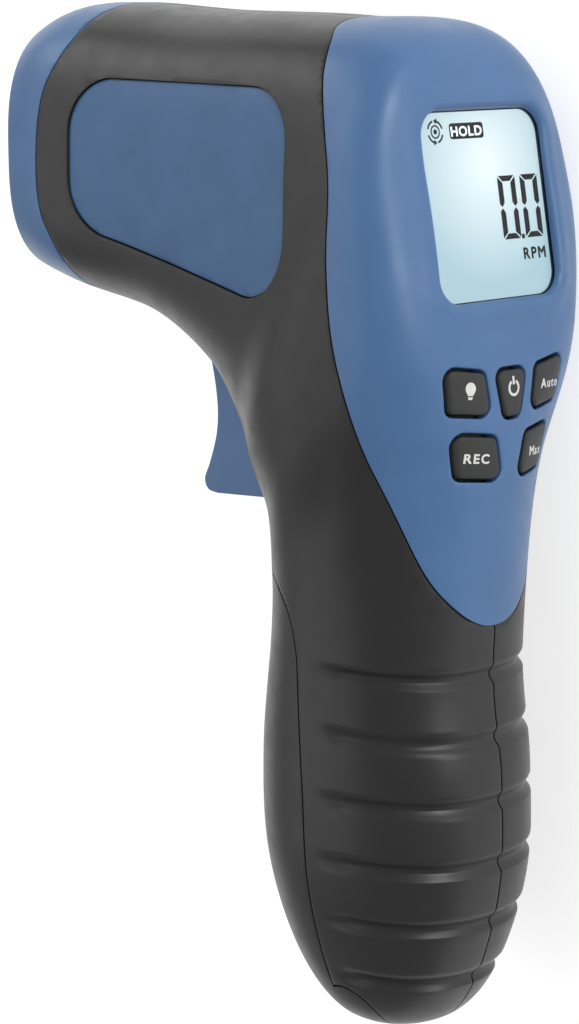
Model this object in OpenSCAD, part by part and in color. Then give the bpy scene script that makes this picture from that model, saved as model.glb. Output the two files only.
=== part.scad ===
// Pistol-grip laser tachometer, lying on its right side.
// Sketch axes: x from the nose to the rear, y from the grip's foot to the head, z to the left side.
// The sketch origin is on the grip's axis, at the foot, in the parting plane of the two housings.

/* [Body] */
// Reach of the nose face in front of the grip's axis
nose_reach = 71; // [66:0.5:80]
// Height of the head's top above the grip's foot
head_top = 161; // [157:0.5:170]
// Width across the display housing
head_width = 49.2; // [47:0.2:54]
// Width of the nose
nose_width = 38.4; // [36:0.2:42]
// Height of the nose face
nose_height = 42.2; // [41:0.2:48]
// Reach of the keypad behind the grip's axis
rear_reach = 23.3; // [22:0.1:26]
// Height of the grip's waist above its foot
grip_waist = 64; // [62:0.5:66]
// Width of the grip at its bulge
grip_width = 37.6; // [35:0.2:44]
// Depth of the grip at its bulge
grip_depth = 44; // [42:0.5:50]
// Depth of the grip at its waist
waist_depth = 40; // [38:0.5:44]
// Thickness of the moulded walls
wall = 2.4; // [1.8:0.1:3]
// Gap along the seams between moulded pieces
seam_gap = 0.3; // [0.15:0.05:0.5]
// Rounding of the nose cap's front rim
nose_rim = 2; // [1:0.25:3]

/* [Grip grooves] */
// Number of grooves round the back of the grip
groove_count = 6; // [3:1:6]
// Height of the uppermost groove above the foot
groove_top = 61; // [58:0.5:63]
// Distance from groove to groove
groove_pitch = 9.85; // [8:0.05:10]
// Depth of a groove
groove_depth = 0.9; // [0.4:0.1:1.2]

/* [Side panels] */
// Setback of a panel's front edge behind the nose face
panel_setback = 17.5; // [16:0.5:24]
// Length of a panel
panel_length = 50; // [40:0.5:52]
// Height of a panel at its front edge
panel_height = 24; // [20:0.5:27]
// Drop of a panel's lower edge from front to rear
panel_drop = 10.4; // [4:0.2:12]
// Distance of a panel's upper edge below the head's top
panel_below_top = 10.4; // [9:0.1:14]
// Corner radius of a panel
panel_corner = 9; // [4:0.5:10]
// Sink of a panel below the housing
panel_sink = 0.4; // [0.2:0.1:0.6]
// Thickness of a panel
panel_thick = 0.8; // [0.6:0.1:1]

/* [Display] */
// Distance of the window's centre below the head's top
window_below_top = 28; // [26:0.5:32]
// Width of the window opening
window_w = 27; // [20:0.5:29]
// Height of the window opening
window_h = 28.4; // [22:0.2:30]
// Corner radius of the window opening
window_corner = 4; // [2:0.5:6]
// Depth of the window's face below the bezel
window_recess = 0.9; // [0.6:0.1:1.4]
// Thickness of the window
window_thick = 0.8; // [0.6:0.1:1.2]
// Width of the window's rim behind the bezel
window_rim = 1; // [0.8:0.1:1.4]
// Thickness of the liquid crystal panel
lcd_thick = 2.2; // [1.6:0.1:2.8]
// Thickness of the backlight panel
backlight_thick = 2.4; // [1.6:0.1:3]
// Depth of the main board's face below the bezel
board_depth = 9.6; // [9.2:0.1:11]
// Thickness of the circuit boards
board_thick = 1.6; // [1:0.2:2]

/* [Keys] */
// Height of the keys above the bezel
key_proud = 0.6; // [0.3:0.1:1]
// Gap round a key
key_gap = 0.35; // [0.25:0.05:0.5]
// Width of a key's flange under the bezel
key_flange = 0.6; // [0.4:0.1:0.8]
// Travel of a key
key_travel = 0.8; // [0.4:0.1:1]
// Corner radius of a key
key_corner = 1.6; // [1:0.1:2]

/* [Trigger] */
// Width of the trigger
trigger_width = 13; // [10:0.5:14]
// Gap round the trigger
trigger_gap = 0.5; // [0.3:0.1:0.8]
// Radius of the trigger's pin
trigger_pin_r = 1.5; // [1.2:0.1:2]
// Rounding of the trigger's side edges
trigger_edge = 1.2; // [0.6:0.2:1.6]
// Wire radius of the trigger's return spring
spring_wire_r = 0.3; // [0.2:0.05:0.4]
// Mean radius of the return spring
spring_r = 2.4; // [2.2:0.1:3]
// Turns of the return spring
spring_turns = 5; // [3:0.5:6]

/* [Nose optics] */
// Depth of the nose plate below the nose face
nose_recess = 3; // [2:0.5:5]
// Thickness of the nose plate
nose_plate = 2; // [1.6:0.2:3]
// Radius of the receiving lens's bore
lens_bore_r = 10; // [8:0.25:10.5]
// Free depth of the lens bore in front of the lens
lens_bore_depth = 6; // [4.5:0.5:7]
// Length of the lens holder
holder_length = 22; // [20:0.5:26]
// Radius of the laser module's barrel
laser_r = 4.5; // [3:0.25:5]

/* [Battery and door] */
// Height of the battery's case
battery_h = 46.4; // [44:0.1:47]
// Depth of the battery's case, from front to rear
battery_d = 26.5; // [25:0.1:27]
// Width of the battery's case
battery_w = 17.5; // [16:0.1:18]
// Radius of the door's hinge pin
hinge_pin_r = 0.9; // [0.7:0.1:1]
// Radius of the door's heel round the hinge
heel_r = 5; // [4.8:0.1:5.4]

/* [Fasteners] */
// Radius of a housing screw's shank
screw_r = 1.4; // [1.2:0.1:1.6]
// Radius of a housing screw's head
screw_head_r = 2.7; // [2.4:0.1:3]
// Height of a housing screw's head
screw_head_h = 2; // [1.5:0.1:2.5]

/* [Hidden] */
// Clearance between pieces that are put together by hand
fit_gap = 0.15;
// Half of the seam gap, taken from each of two pieces that meet
half_gap = seam_gap / 2;
// A length that reaches past the whole object
far = 300;
// Points round a section of the skin and of the cavity
skin_points = 24;
cavity_points = 12;

nose_x = -nose_reach;
nose_top = head_top - 1.6;
nose_foot = nose_top - nose_height;
head_half = head_width / 2;
nose_half = nose_width / 2;
grip_half = grip_width / 2;
grip_back = grip_depth / 2;
waist_back = waist_depth / 2;
// Heights of the grip's sections, as shares of the waist's height
bulge_y = grip_waist * 0.703;
palm_y = grip_waist * 0.4375;
heel_y = grip_waist * 0.203;
turn_y = grip_waist * 0.0625;
foot_y = grip_waist * 0.00625;

// Sections of the body from the nose to the foot of the grip. Each row holds the section's inner point
// (x, y), its outer point (x, y), the half width, how square the inner and the outer half are, and the
// place of the greatest width between the two points.
STATIONS = [
    [nose_x, nose_foot, nose_x, nose_top, nose_half, 3, 2.8, 0.5],
    [nose_x + 10, nose_foot - 2.4, nose_x + 10, head_top + 1.2, nose_half + 1.6, 3, 2.8, 0.5],
    [nose_x + 28, nose_foot - 6.2, nose_x + 34, head_top + 0.1, nose_half + 1.3, 2.8, 2.8, 0.52],
    [-29.6, nose_foot - 14.6, -10.5, head_top - 0.6, head_half - 3.1, 2.6, 3.2, 0.55],
    [-23.5, nose_foot - 24.5, rear_reach - 11.4, head_top - 3.2, head_half - 1.9, 2.5, 3.1, 0.57],
    [-20.6, nose_foot - 31.5, rear_reach - 5.7, head_top - 23, head_half, 2.3, 5.1, 0.6],
    [-18.7, nose_foot - 38.3, rear_reach - 1.9, head_top - 43.1, head_half - 1.3, 2.1, 4.3, 0.58],
    [-19, nose_foot - 46.6, rear_reach - 0.3, head_top - 63.9, head_half - 4.7, 2.3, 2, 0.54],
    [-waist_back, grip_waist, waist_back, grip_waist, grip_half - 0.4, 2.2, 2.2, 0.5],
    [-grip_back, bulge_y, grip_back, bulge_y, grip_half, 2.2, 2.2, 0.5],
    [1 - grip_back, palm_y, grip_back, palm_y, grip_half - 0.3, 2.2, 2.2, 0.5],
    [6 - grip_back, heel_y, grip_back - 4, heel_y, grip_half - 3.7, 2.2, 2.2, 0.5],
    [13.1 - grip_back, turn_y, grip_back - 9.9, turn_y, grip_half - 8.3, 2.1, 2.1, 0.5],
    [21 - grip_back, foot_y, grip_back - 18.8, foot_y, grip_half - 16.3, 2, 2, 0.5]
];
LAST = len(STATIONS) - 1;
WAIST = 8;

function blend(a, b, c, d, t) =
    (2 * b + (c - a) * t + (2 * a - 5 * b + 4 * c - d) * t * t + (3 * b - a - 3 * c + d) * t * t * t) / 2;

function knot(list, i) = list[max(0, min(len(list) - 1, i))];

// A smooth curve through the rows of a list, at place u counted in rows
function along(list, u) =
    let (i = min(floor(u), len(list) - 2))
    blend(knot(list, i - 1), knot(list, i), knot(list, i + 1), knot(list, i + 2), u - i);

function smooth_line(list, steps) =
    [for (k = [0 : steps * (len(list) - 1)]) along(list, k / steps)];

function signed_power(v, p) = sign(v) * pow(abs(v), p);

function ease(t) = let (s = max(0, min(1, t))) s * s * (3 - 2 * s);

// Depth of the grip's grooves at height y: steep on the upper side, softer on the lower lip
function groove_shape(d) =
    let (t = d > 0 ? d / 1.1 : -d / 2.2)
    t < 1 ? pow(1 - t * t, 2) : 0;

function groove_at(y) =
    groove_depth * max([for (k = [0 : groove_count - 1]) groove_shape(y - groove_top + k * groove_pitch)]);

// The grooves fade out on the sides, ahead of the battery door's seam
function groove_fade(angle) = ease((92 - abs(180 - angle)) / 16);

// One point of a section, with the section grown outwards by grow
function section_point(s, angle, grow) =
    let (
        span = norm([s[2] - s[0], s[3] - s[1]]),
        way = [s[2] - s[0], s[3] - s[1]] / span,
        power = 2 / (cos(angle) > 0 ? s[5] : s[6]),
        reach = cos(angle) > 0 ? s[7] * span : (1 - s[7]) * span,
        a = s[7] * span - max(0.4, reach + grow) * signed_power(cos(angle), power),
        z = max(0.4, s[4] + grow) * signed_power(sin(angle), power)
    )
    [s[0] + way[0] * a, s[1] + way[1] * a, z];

// Place along the grip at height y
function place_at(y, low = WAIST, high = LAST, rounds = 14) =
    rounds == 0 ? (low + high) / 2 :
    let (mid = (low + high) / 2)
    along(STATIONS, mid)[3] > y ? place_at(y, mid, high, rounds - 1) : place_at(y, low, mid, rounds - 1);

// Rows of the skin, as place and inset: the head, closer where it turns down, and the foot
HEAD_ROWS = concat(
    [for (u = [1 : 0.5 : 2.5]) [u, 0]],
    [for (k = [9 : 14]) [k / 3, 0]],
    [for (u = [5 : 0.5 : WAIST - 0.5]) [u, 0]]
);
FOOT_ROWS = [for (y = [2 * turn_y, turn_y, turn_y / 2, 2.25 * foot_y, foot_y]) [place_at(y), 0]];
// All rows of the skin: the rounded rim, the head, the grooved grip and the foot
SKIN_ROWS = concat(
    [for (a = [0 : 30 : 90]) [nose_rim * (1 - cos(a)) / 10, nose_rim * (1 - sin(a))]],
    HEAD_ROWS,
    [for (k = [0 : groove_count - 1], d = [1.1, -0.1, -2.2])
        [place_at(groove_top - k * groove_pitch + d), 0]],
    FOOT_ROWS
);
// Rows of the smooth front of the grip, under the battery door
DOOR_ROWS = concat(
    [for (u = [6.5 : 0.5 : WAIST]) [u, 0]],
    [for (k = [7 : -1 : 2]) [place_at(k * grip_waist / 8), 0]],
    FOOT_ROWS
);
// Rows of the cavity, which ends short of the foot by the wall
CAVITY_ROWS = concat(
    [[wall / 10, 0]],
    [for (u = [1, 2, 3, 3.5, 4, 4.5, 5, 6, 7, WAIST]) [u, 0]],
    [for (y = [54 : -10 : 14]) [place_at(y), 0]],
    [for (y = [9, 5.5, wall + 0.7]) [place_at(y), 0]]
);

module loft(rows, points, grow, grooved) {
    rings = [for (row = rows)
        let (s = along(STATIONS, row[0]), cut = grooved && row[0] > WAIST ? groove_at(s[3]) : 0)
        [for (j = [0 : points - 1])
            let (angle = 360 * j / points)
            section_point(s, angle, grow - row[1] - cut * groove_fade(angle))]];
    count = len(rings);
    polyhedron(
        [for (ring = rings) each ring],
        concat(
            [[for (j = [points - 1 : -1 : 0]) j]],
            [[for (j = [0 : points - 1]) (count - 1) * points + j]],
            [for (i = [0 : count - 2], j = [0 : points - 1], half = [0, 1])
                let (a = i * points + j, b = i * points + (j + 1) % points)
                half == 0 ? [a, b, b + points] : [a, b + points, a + points]]
        )
    );
}

module skin(grow = 0) loft(SKIN_ROWS, skin_points, grow, true);

module door_skin() loft(DOOR_ROWS, skin_points, 0, false);

module cavity(grow = 0) loft(CAVITY_ROWS, cavity_points, grow - wall, false);

// One moulded piece: its whole surface follows the body's free form
module moulded(tint) color(tint) laid() resize([0, 0, 0]) children();

// Lays the sketch on its right side, with the middle of its outline over the origin
module laid() translate([-middle_x, -middle_y, rest_z]) children();

// Outline of the skin's rows, for the middle and the resting height. The keys stand proud at the rear.
BODY_ROWS = [for (row = SKIN_ROWS) along(STATIONS, row[0])];
KEY_ROW = section_point(along(STATIONS, 6.8), 180, key_proud);
middle_x = (nose_x + max(KEY_ROW[0], max([for (s = BODY_ROWS) s[2]]))) / 2;
middle_y = (max([for (s = BODY_ROWS) s[3]]) + min([for (s = BODY_ROWS) s[3]])) / 2;
rest_z = max([for (s = BODY_ROWS) s[4]]);

// Seams, as curves in the side view
BEZEL_SEAM = [
    [-8, head_top + 6], [-3.2, head_top - 1], [0.4, head_top - 4.5], [1.9, head_top - 9.7],
    [4.5, head_top - 16.8], [7.2, head_top - 25.5], [rear_reach - 15.6, head_top - 36.5],
    [rear_reach - 14.8, head_top - 47.5], [rear_reach - 12.8, head_top - 58],
    [rear_reach - 10.6, head_top - 69.6], [rear_reach - 7.2, head_top - 81.8],
    [rear_reach - 4.2, head_top - 89.2], [rear_reach - 2.9, head_top - 93.3], [rear_reach + 2, head_top - 98]
];
NOSE_SEAM = [
    [nose_x + 17.5, head_top + 6], [nose_x + 14.6, head_top - 4.5], [nose_x + 11, head_top - 13],
    [nose_x + 9.6, head_top - 23], [nose_x + 9.8, head_top - 32], [nose_x + 11.6, head_top - 38],
    [nose_x + 15.5, nose_foot - 8]
];
DOOR_SEAM = [
    [-31, 79], [-19, 77.6], [-12, 74.4], [-7, 70], [-4.8, 64], [-4, 56], [-2.5, 40], [-1.7, 24], [-0.6, 8]
];
// Hinge of the door: its axis, the ears on the pin and the lugs between them
hinge_x = 1.6;
hinge_y = 4.4;
hinge_gap = 0.12;
ear_inner = 5.7;
ear_thick = 1.7;
ear_outer = ear_inner + ear_thick;

module through(grow) linear_extrude(height = far, center = true) offset(delta = grow) children();

module bezel_zone(grow) through(grow)
    polygon(concat(smooth_line(BEZEL_SEAM, 2), [[far, head_top - 98], [far, head_top + 6]]));

module nose_zone(grow) through(grow)
    polygon(concat(smooth_line(NOSE_SEAM, 2), [[-far, nose_foot - 8], [-far, head_top + 6]]));

module door_zone(grow) {
    through(grow)
        polygon(concat(smooth_line(DOOR_SEAM, 2), [[hinge_x, hinge_y], [hinge_x, -far], [-far, -far]]));
    translate([hinge_x, hinge_y, 0])
        cylinder(r = heel_r + grow, h = far, center = true, $fn = 26);
}

// Side panel outline, and the layer of the skin that it fills
module panel_outline() {
    front = nose_x + panel_setback;
    top = head_top - panel_below_top;
    offset(r = panel_corner, $fn = 20) offset(delta = -panel_corner) polygon([
        [front, top], [front + panel_length, top - 0.6],
        [front + panel_length + 1, top - panel_height - panel_drop], [front - 0.5, top - panel_height]
    ]);
}

module panel_zone(grow, side) translate([0, 0, side > 0 ? nose_half / 2 : -far - nose_half / 2])
    linear_extrude(height = far) offset(delta = grow) panel_outline();

// Display frame: its own x points out of the window, y runs up the window, z stays lateral
function rear_place(y, low = 4, high = 7.5, rounds = 14) =
    rounds == 0 ? (low + high) / 2 :
    let (mid = (low + high) / 2)
    along(STATIONS, mid)[3] > y ? rear_place(y, mid, high, rounds - 1) : rear_place(y, low, mid, rounds - 1);
function rear_x(y) = along(STATIONS, rear_place(y))[2];
window_y = head_top - window_below_top;
window_rise = rear_x(window_y - window_h / 2) - rear_x(window_y + window_h / 2);
window_tilt = atan(window_rise / window_h);
window_x = (rear_x(window_y - window_h / 2) + rear_x(window_y + window_h / 2)) / 2;

module at_display() translate([window_x, window_y, 0]) rotate([0, 0, window_tilt]) children();

// A plate in the display frame: a flat outline drawn as (lateral, up), between two depths
module display_plate(deep, shallow) translate([-deep, 0, 0]) rotate([0, 90, 0])
    linear_extrude(height = deep - shallow) mirror([1, 0]) children();

module rounded(w, h, r) hull() for (sx = [-1, 1], sy = [-1, 1])
    translate([sx * (w / 2 - r), sy * (h / 2 - r)]) circle(r = r, $fn = 24);

// A rounded plate with true corner arcs
module sharp_plate(w, h, r) {
    square([w - 2 * r, h], center = true);
    square([w, h - 2 * r], center = true);
    for (sx = [-1, 1], sy = [-1, 1])
        translate([sx * (w / 2 - r), sy * (h / 2 - r)]) circle(r = r, $fn = 32);
}

window_back = window_recess + window_thick;
lcd_front = window_back;
lcd_back = lcd_front + lcd_thick;
backlight_back = lcd_back + backlight_thick;
lcd_w = window_w + 0.8;
lcd_h = window_h + 0.8;
// The frame round the display starts clear of the bezel's inner wall
frame_wall = 0.8;
frame_front = wall + 2.8;
frame_w = lcd_w + 2 * fit_gap + 2 * frame_wall;
frame_h = lcd_h + 2 * fit_gap + 2 * frame_wall;
rim_corner = 2;
pocket_rim = 2 * window_rim + 2 * fit_gap;

// Main board, carried by four posts of the bezel
post_r = 1.8;
post_hole_r = 0.9;
post_z = frame_w / 2 - 3;
post_up = frame_h / 2 + fit_gap + post_r;
POSTS = [for (z = [-1, 1], up = [-1, 1]) [z * post_z, up * post_up]];
board_w = frame_w - 0.8;
board_top = post_up + 2;
board_foot = -window_h / 2 - 27;
// The board's narrow tongue behind the lower keys
tongue_w = 19;
tongue_top = -window_h / 2 - 19;

// Keys: outlines as (lateral, up) in the display frame
key_top = -window_h / 2 - 10.2;
UPPER_KEY = [[13.95, key_top + 1.35], [5.75, key_top], [4.4, key_top - 7.1], [12.45, key_top - 5.9]];
POWER_KEY = [[3.75, key_top], [-3.75, key_top], [-1.95, key_top - 7.6], [1.95, key_top - 7.6]];
LOWER_KEY = [[11.45, key_top - 8.5], [3.25, key_top - 9.8], [1.6, key_top - 16.9], [9.65, key_top - 15.7]];
mat_thick = 0.8;
mat_top = board_depth - mat_thick;
dome_h = 0.9;
dome_r = 1.6;
key_foot = mat_top - dome_h - key_travel - 0.1;

module key_outline(points, turn, grow) scale([turn, 1])
    offset(delta = grow) offset(r = key_corner, $fn = 12) offset(delta = -key_corner) polygon(points);

function key_centre(points, turn) =
    let (n = len(points), sum = [for (axis = [0, 1]) [for (p = points) p[axis]] * [for (p = points) 1]])
    [turn * sum[0] / n, sum[1] / n];

KEYS = [[UPPER_KEY, 1], [POWER_KEY, 1], [UPPER_KEY, -1], [LOWER_KEY, 1], [LOWER_KEY, -1]];

// Trigger, its pin, spring and switch
pivot_x = -26;
pivot_y = nose_foot - 9;
trigger_back = -15;
trigger_foot = pivot_y - 25;
TRIGGER_FRONT = [
    [-35.6, pivot_y - 2], [-34.4, pivot_y - 7], [-33.9, pivot_y - 11.5], [-34.3, pivot_y - 15.5],
    [-35.8, pivot_y - 20], [-37, pivot_y - 22.8], [-36.2, pivot_y - 24.6], [-34, trigger_foot]
];
TRIGGER_REAR = [[-23, trigger_foot + 0.7], [trigger_back, trigger_foot + 1.2]];
switch_board_x = -7.5;
switch_y = pivot_y - 18;
spring_y = pivot_y - 9.5;
switch_body = 6;
switch_h = 4;
switch_plunger = switch_board_x - switch_h - 0.7;
switch_board_w = 20;
switch_board_low = pivot_y - 24;
switch_board_high = pivot_y - 1;
spring_spigot = 2;

// Nose optics
plate_front = nose_x + nose_recess;
plate_back = plate_front + nose_plate;
lens_y = nose_top - 15.2;
laser_y = nose_foot + 7.2;
holder_r = lens_bore_r + 2.4;
holder_back = plate_back + holder_length;
lens_thick = 3.4;
lens_r = lens_bore_r - 0.6;
lens_seat = plate_back + lens_bore_depth + lens_thick;
sensor_board_w = 24;
sensor_board_low = laser_y - 6;
sensor_board_high = lens_y + 9.5;
sensor_r = 2.5;
sensor_h = 3;

// Battery, in the middle of the grip, on two ribs
battery_low = 20;
battery_x = 0.5;
battery_top = battery_low + battery_h;
terminal_h = 2.6;
terminal_y = [-6.35, 6.35];
snap_thick = 3.6;
snap_low = battery_top + 0.4;
snap_high = snap_low + snap_thick;

// Housing screws run from the right side into bosses of the left housing
SCREWS = [[9.5, 12.2], [11, 82], [-33, nose_foot - 3], [-16, head_top - 12]];
boss_r = 3.4;
screw_seat = 6;
screw_tip = 9;
head_room = screw_head_r + 0.4;

housing_black = "#3e3e41";
accent_blue = "#5578aa";
panel_blue = "#466996";
key_black = "#4b4b4e";
board_green = "#2f6b46";
steel = "#b9bcc0";
brass = "#c4a24e";

// Everything on one side of the parting plane, and the seam's gap beside it
module half_space(side) translate([-far, -far, side > 0 ? -half_gap : -2 * far + half_gap]) cube(2 * far);

// A boss or rib that grows from the housing's inner wall
module rooted() intersection() {
    children();
    skin(-wall / 2);
}

module trigger_outline() polygon(concat(
    smooth_line(TRIGGER_FRONT, 3), TRIGGER_REAR,
    [[trigger_back, pivot_y - 6], [pivot_x + 5, pivot_y], [pivot_x + 4, pivot_y + 3],
     [pivot_x, pivot_y + 4.4], [pivot_x - 4, pivot_y + 3]]
));

module trigger_slot() linear_extrude(height = trigger_width + 2 * trigger_gap, center = true)
    offset(delta = 0.9) trigger_outline();

// Inside of a housing half: bosses for the screws and the trigger's pin, ribs for the boards, the battery
// and the door's hinge
module housing_inside(side) {
    for (p = SCREWS) translate([p[0], p[1], 0]) cylinder(r = boss_r, h = far, center = true, $fn = 12);
    translate([pivot_x, pivot_y, side * (trigger_width / 2 + trigger_gap + far / 2)])
        cylinder(r = trigger_pin_r + 2, h = far, center = true, $fn = 16);
    // Slot for the switch board's edge
    slot_z = switch_board_w / 2 - 1.5;
    for (x = [switch_board_x - fit_gap - 1.4, switch_board_x + board_thick + fit_gap])
        translate([x, switch_board_low + 3, side > 0 ? slot_z : -far - slot_z]) cube([1.4, 16, far]);
    // Rib under the battery, whose lug takes the hinge pin
    translate([0, 0, side * 4]) linear_extrude(height = 2.4, center = true) {
        translate([hinge_x, hinge_y]) circle(r = hinge_pin_r + 0.6, $fn = 20);
        translate([hinge_x - 1.4, hinge_y]) square([2.8, battery_low - hinge_y]);
        polygon([[hinge_x, 11], [far, 11], [far, battery_low], [hinge_x, battery_low]]);
    }
    // Rib behind the battery
    translate([battery_x + battery_d / 2 + fit_gap, battery_low + 4, side > 0 ? 3 : -5])
        cube([far, battery_h - 8, 2]);
}

module housing(side) difference() {
    union() {
        difference() {
            skin();
            cavity();
        }
        rooted() housing_inside(side);
    }
    half_space(-side);
    bezel_zone(half_gap);
    nose_zone(half_gap);
    door_zone(half_gap);
    trigger_slot();
    difference() {
        panel_zone(0, side);
        skin(-panel_sink - panel_thick);
    }
    translate([pivot_x, pivot_y, 0])
        cylinder(r = trigger_pin_r + 0.1, h = pin_length + 1, center = true, $fn = 24);
    translate([hinge_x, hinge_y, 0])
        cylinder(r = hinge_pin_r + hinge_gap, h = 2 * ear_inner, center = true, $fn = 20);
    for (p = SCREWS) translate([p[0], p[1], 0]) {
        cylinder(r = screw_r + fit_gap, h = 2 * screw_tip + 1, center = true, $fn = 14);
        if (side < 0) translate([0, 0, -far - screw_seat]) cylinder(r = head_room, h = far, $fn = 14);
    }
}

module left_housing() moulded(housing_black) housing(1);

module right_housing() moulded(housing_black) housing(-1);

module rear_bezel() moulded(accent_blue) difference() {
    union() {
        intersection() {
            difference() {
                skin();
                cavity();
            }
            bezel_zone(-half_gap);
        }
        intersection() {
            at_display() for (p = POSTS)
                display_plate(board_depth, 0) translate(p) circle(r = post_r, $fn = 12);
            skin(-wall / 2);
        }
    }
    at_display() {
        display_plate(far / 8, -far / 8) rounded(window_w, window_h, window_corner);
        display_plate(far / 8, window_recess)
            rounded(window_w + pocket_rim, window_h + pocket_rim, rim_corner + fit_gap);
        for (p = POSTS) display_plate(board_depth + 1, board_depth - 5) translate(p)
            circle(r = post_hole_r + 0.1, $fn = 8);
        for (k = KEYS) display_plate(far / 8, -far / 8) key_outline(k[0], k[1], key_gap / 2);
    }
}

// The hollow of the nose between two places along it
module nose_hollow(front, back) intersection() {
    loft([[0, 0], [1, 0], [2, 0]], skin_points, -wall, false);
    translate([front, -far / 2, -far / 2]) cube([back - front, 2 * far, far]);
}

module along_nose(x, y) translate([x, y, 0]) rotate([0, 90, 0]) children();

module nose_cap() moulded(accent_blue) difference() {
    union() {
        difference() {
            intersection() {
                skin();
                nose_zone(-half_gap);
            }
            nose_hollow(nose_x - 1, plate_front);
            nose_hollow(plate_back, 0);
        }
        along_nose(plate_back - 0.1, laser_y) cylinder(r = laser_r + 1.8, h = 6.1, $fn = 20);
    }
    along_nose(nose_x, lens_y) cylinder(r = lens_bore_r + 0.3, h = nose_recess + nose_plate + 1, $fn = 32);
    along_nose(nose_x, laser_y) cylinder(r = laser_r - 1, h = nose_recess + nose_plate + 1, $fn = 20);
    along_nose(plate_back, laser_y) cylinder(r = laser_r + 0.1, h = 20, $fn = 20);
}

module side_panel(side) moulded(panel_blue) intersection() {
    panel_zone(-fit_gap, side);
    difference() {
        skin(-panel_sink);
        skin(-panel_sink - panel_thick);
    }
}

module left_side_panel() side_panel(1);

module right_side_panel() side_panel(-1);

module battery_door() moulded(housing_black) difference() {
    union() {
        intersection() {
            difference() {
                door_skin();
                cavity();
            }
            door_zone(-half_gap);
        }
        intersection() {
            for (side = [-1, 1]) translate([hinge_x, hinge_y, side * (ear_inner + ear_thick / 2)])
                cylinder(r = hinge_pin_r + 1.3, h = ear_thick, center = true, $fn = 24);
            skin(-wall / 2);
        }
    }
    translate([hinge_x, hinge_y, 0])
        cylinder(r = hinge_pin_r + hinge_gap, h = 2 * ear_outer + 0.2, center = true, $fn = 20);
}

module door_hinge_pin() color(steel) laid() translate([hinge_x, hinge_y, 0])
    cylinder(r = hinge_pin_r, h = 2 * ear_outer, center = true, $fn = 32);

pin_length = trigger_width + 2 * trigger_gap + 12;

module trigger() color(accent_blue) laid() difference() {
    union() {
        for (a = [0 : 30 : 90])
            linear_extrude(height = trigger_width - 2 * trigger_edge * (1 - sin(a)), center = true)
                offset(delta = -trigger_edge * (1 - cos(a))) trigger_outline();
        translate([trigger_back - 1, spring_y, 0]) rotate([0, 90, 0])
            cylinder(r = spring_r - spring_wire_r - 0.2, h = 1 + spring_spigot, $fn = 24);
    }
    translate([pivot_x, pivot_y, 0]) cylinder(r = trigger_pin_r + 0.1, h = far, center = true, $fn = 32);
}

module trigger_pin() color(steel) laid() translate([pivot_x, pivot_y, 0])
    cylinder(r = trigger_pin_r, h = pin_length, center = true, $fn = 32);

// A round wire swept along a list of points, none of which runs along the way named up
module wire(path, r, sides, up) {
    count = len(path);
    rings = [for (i = [0 : count - 1])
        let (
            way = path[min(i + 1, count - 1)] - path[max(i - 1, 0)],
            t = way / norm(way),
            side = cross(t, up),
            u = side / norm(side),
            v = cross(t, u)
        )
        [for (j = [0 : sides - 1]) path[i] + r * (cos(360 * j / sides) * u + sin(360 * j / sides) * v)]];
    polyhedron(
        [for (ring = rings) each ring],
        concat(
            [[for (j = [0 : sides - 1]) j]],
            [[for (j = [sides - 1 : -1 : 0]) (count - 1) * sides + j]],
            [for (i = [0 : count - 2], j = [0 : sides - 1], half = [0, 1])
                let (a = i * sides + j, b = i * sides + (j + 1) % sides)
                half == 0 ? [a, b + sides, b] : [a, a + sides, b + sides]]
        )
    );
}

module trigger_spring() color(steel) laid() {
    low = trigger_back + spring_wire_r + 0.05;
    high = switch_board_x - spring_wire_r - 0.05;
    steps = 7;
    wire([for (k = [0 : steps * spring_turns])
        let (t = k / (steps * spring_turns), a = 360 * k / steps)
        [low + (high - low) * t, spring_y + spring_r * cos(a), spring_r * sin(a)]],
        spring_wire_r, 4, [1, 0, 0]);
}

module trigger_switch() color("#262628") laid() {
    translate([switch_board_x - switch_h, switch_y - switch_body / 2, -switch_body / 2])
        cube([switch_h, switch_body, switch_body]);
    translate([switch_plunger, switch_y, 0]) rotate([0, 90, 0])
        cylinder(r = 1.7, h = switch_board_x - switch_plunger - 1, $fn = 24);
}

module switch_board() color(board_green) laid()
    translate([switch_board_x, switch_board_low, -switch_board_w / 2])
        cube([board_thick, switch_board_high - switch_board_low, switch_board_w]);

module display_window() color("#dfeef2", 0.5) laid() at_display()
    display_plate(window_back, window_recess)
        sharp_plate(window_w + 2 * window_rim, window_h + 2 * window_rim, rim_corner);

module lcd_panel() color("#d8ecec") laid() at_display()
    display_plate(lcd_back, lcd_front) square([lcd_w, lcd_h], center = true);

module backlight_panel() color("white") laid() at_display()
    display_plate(backlight_back, lcd_back) square([lcd_w, lcd_h], center = true);

// Frame round the display stack, with a ledge behind the backlight
module display_frame() color("#e6e6e2") laid() at_display() {
    display_plate(board_depth, frame_front) difference() {
        sharp_plate(frame_w, frame_h, 1.6);
        square([lcd_w + 2 * fit_gap, lcd_h + 2 * fit_gap], center = true);
    }
    display_plate(board_depth, backlight_back) difference() {
        square([frame_w - frame_wall, frame_h - frame_wall], center = true);
        square([lcd_w - 4, lcd_h - 4], center = true);
    }
}

module main_board() color(board_green) laid() at_display()
    display_plate(board_depth + board_thick, board_depth) difference() {
        union() {
            translate([0, (board_top + tongue_top) / 2]) sharp_plate(board_w, board_top - tongue_top, 2.5);
            translate([-tongue_w / 2, board_foot]) square([tongue_w, tongue_top - board_foot + 4]);
        }
        for (p = POSTS) translate(p) circle(r = post_hole_r + 0.15, $fn = 24);
    }

board_back = board_depth + board_thick;

module controller_chip() color("#222224") laid() at_display()
    display_plate(board_back + 1.4, board_back) translate([0, -4]) square(10, center = true);

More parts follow.
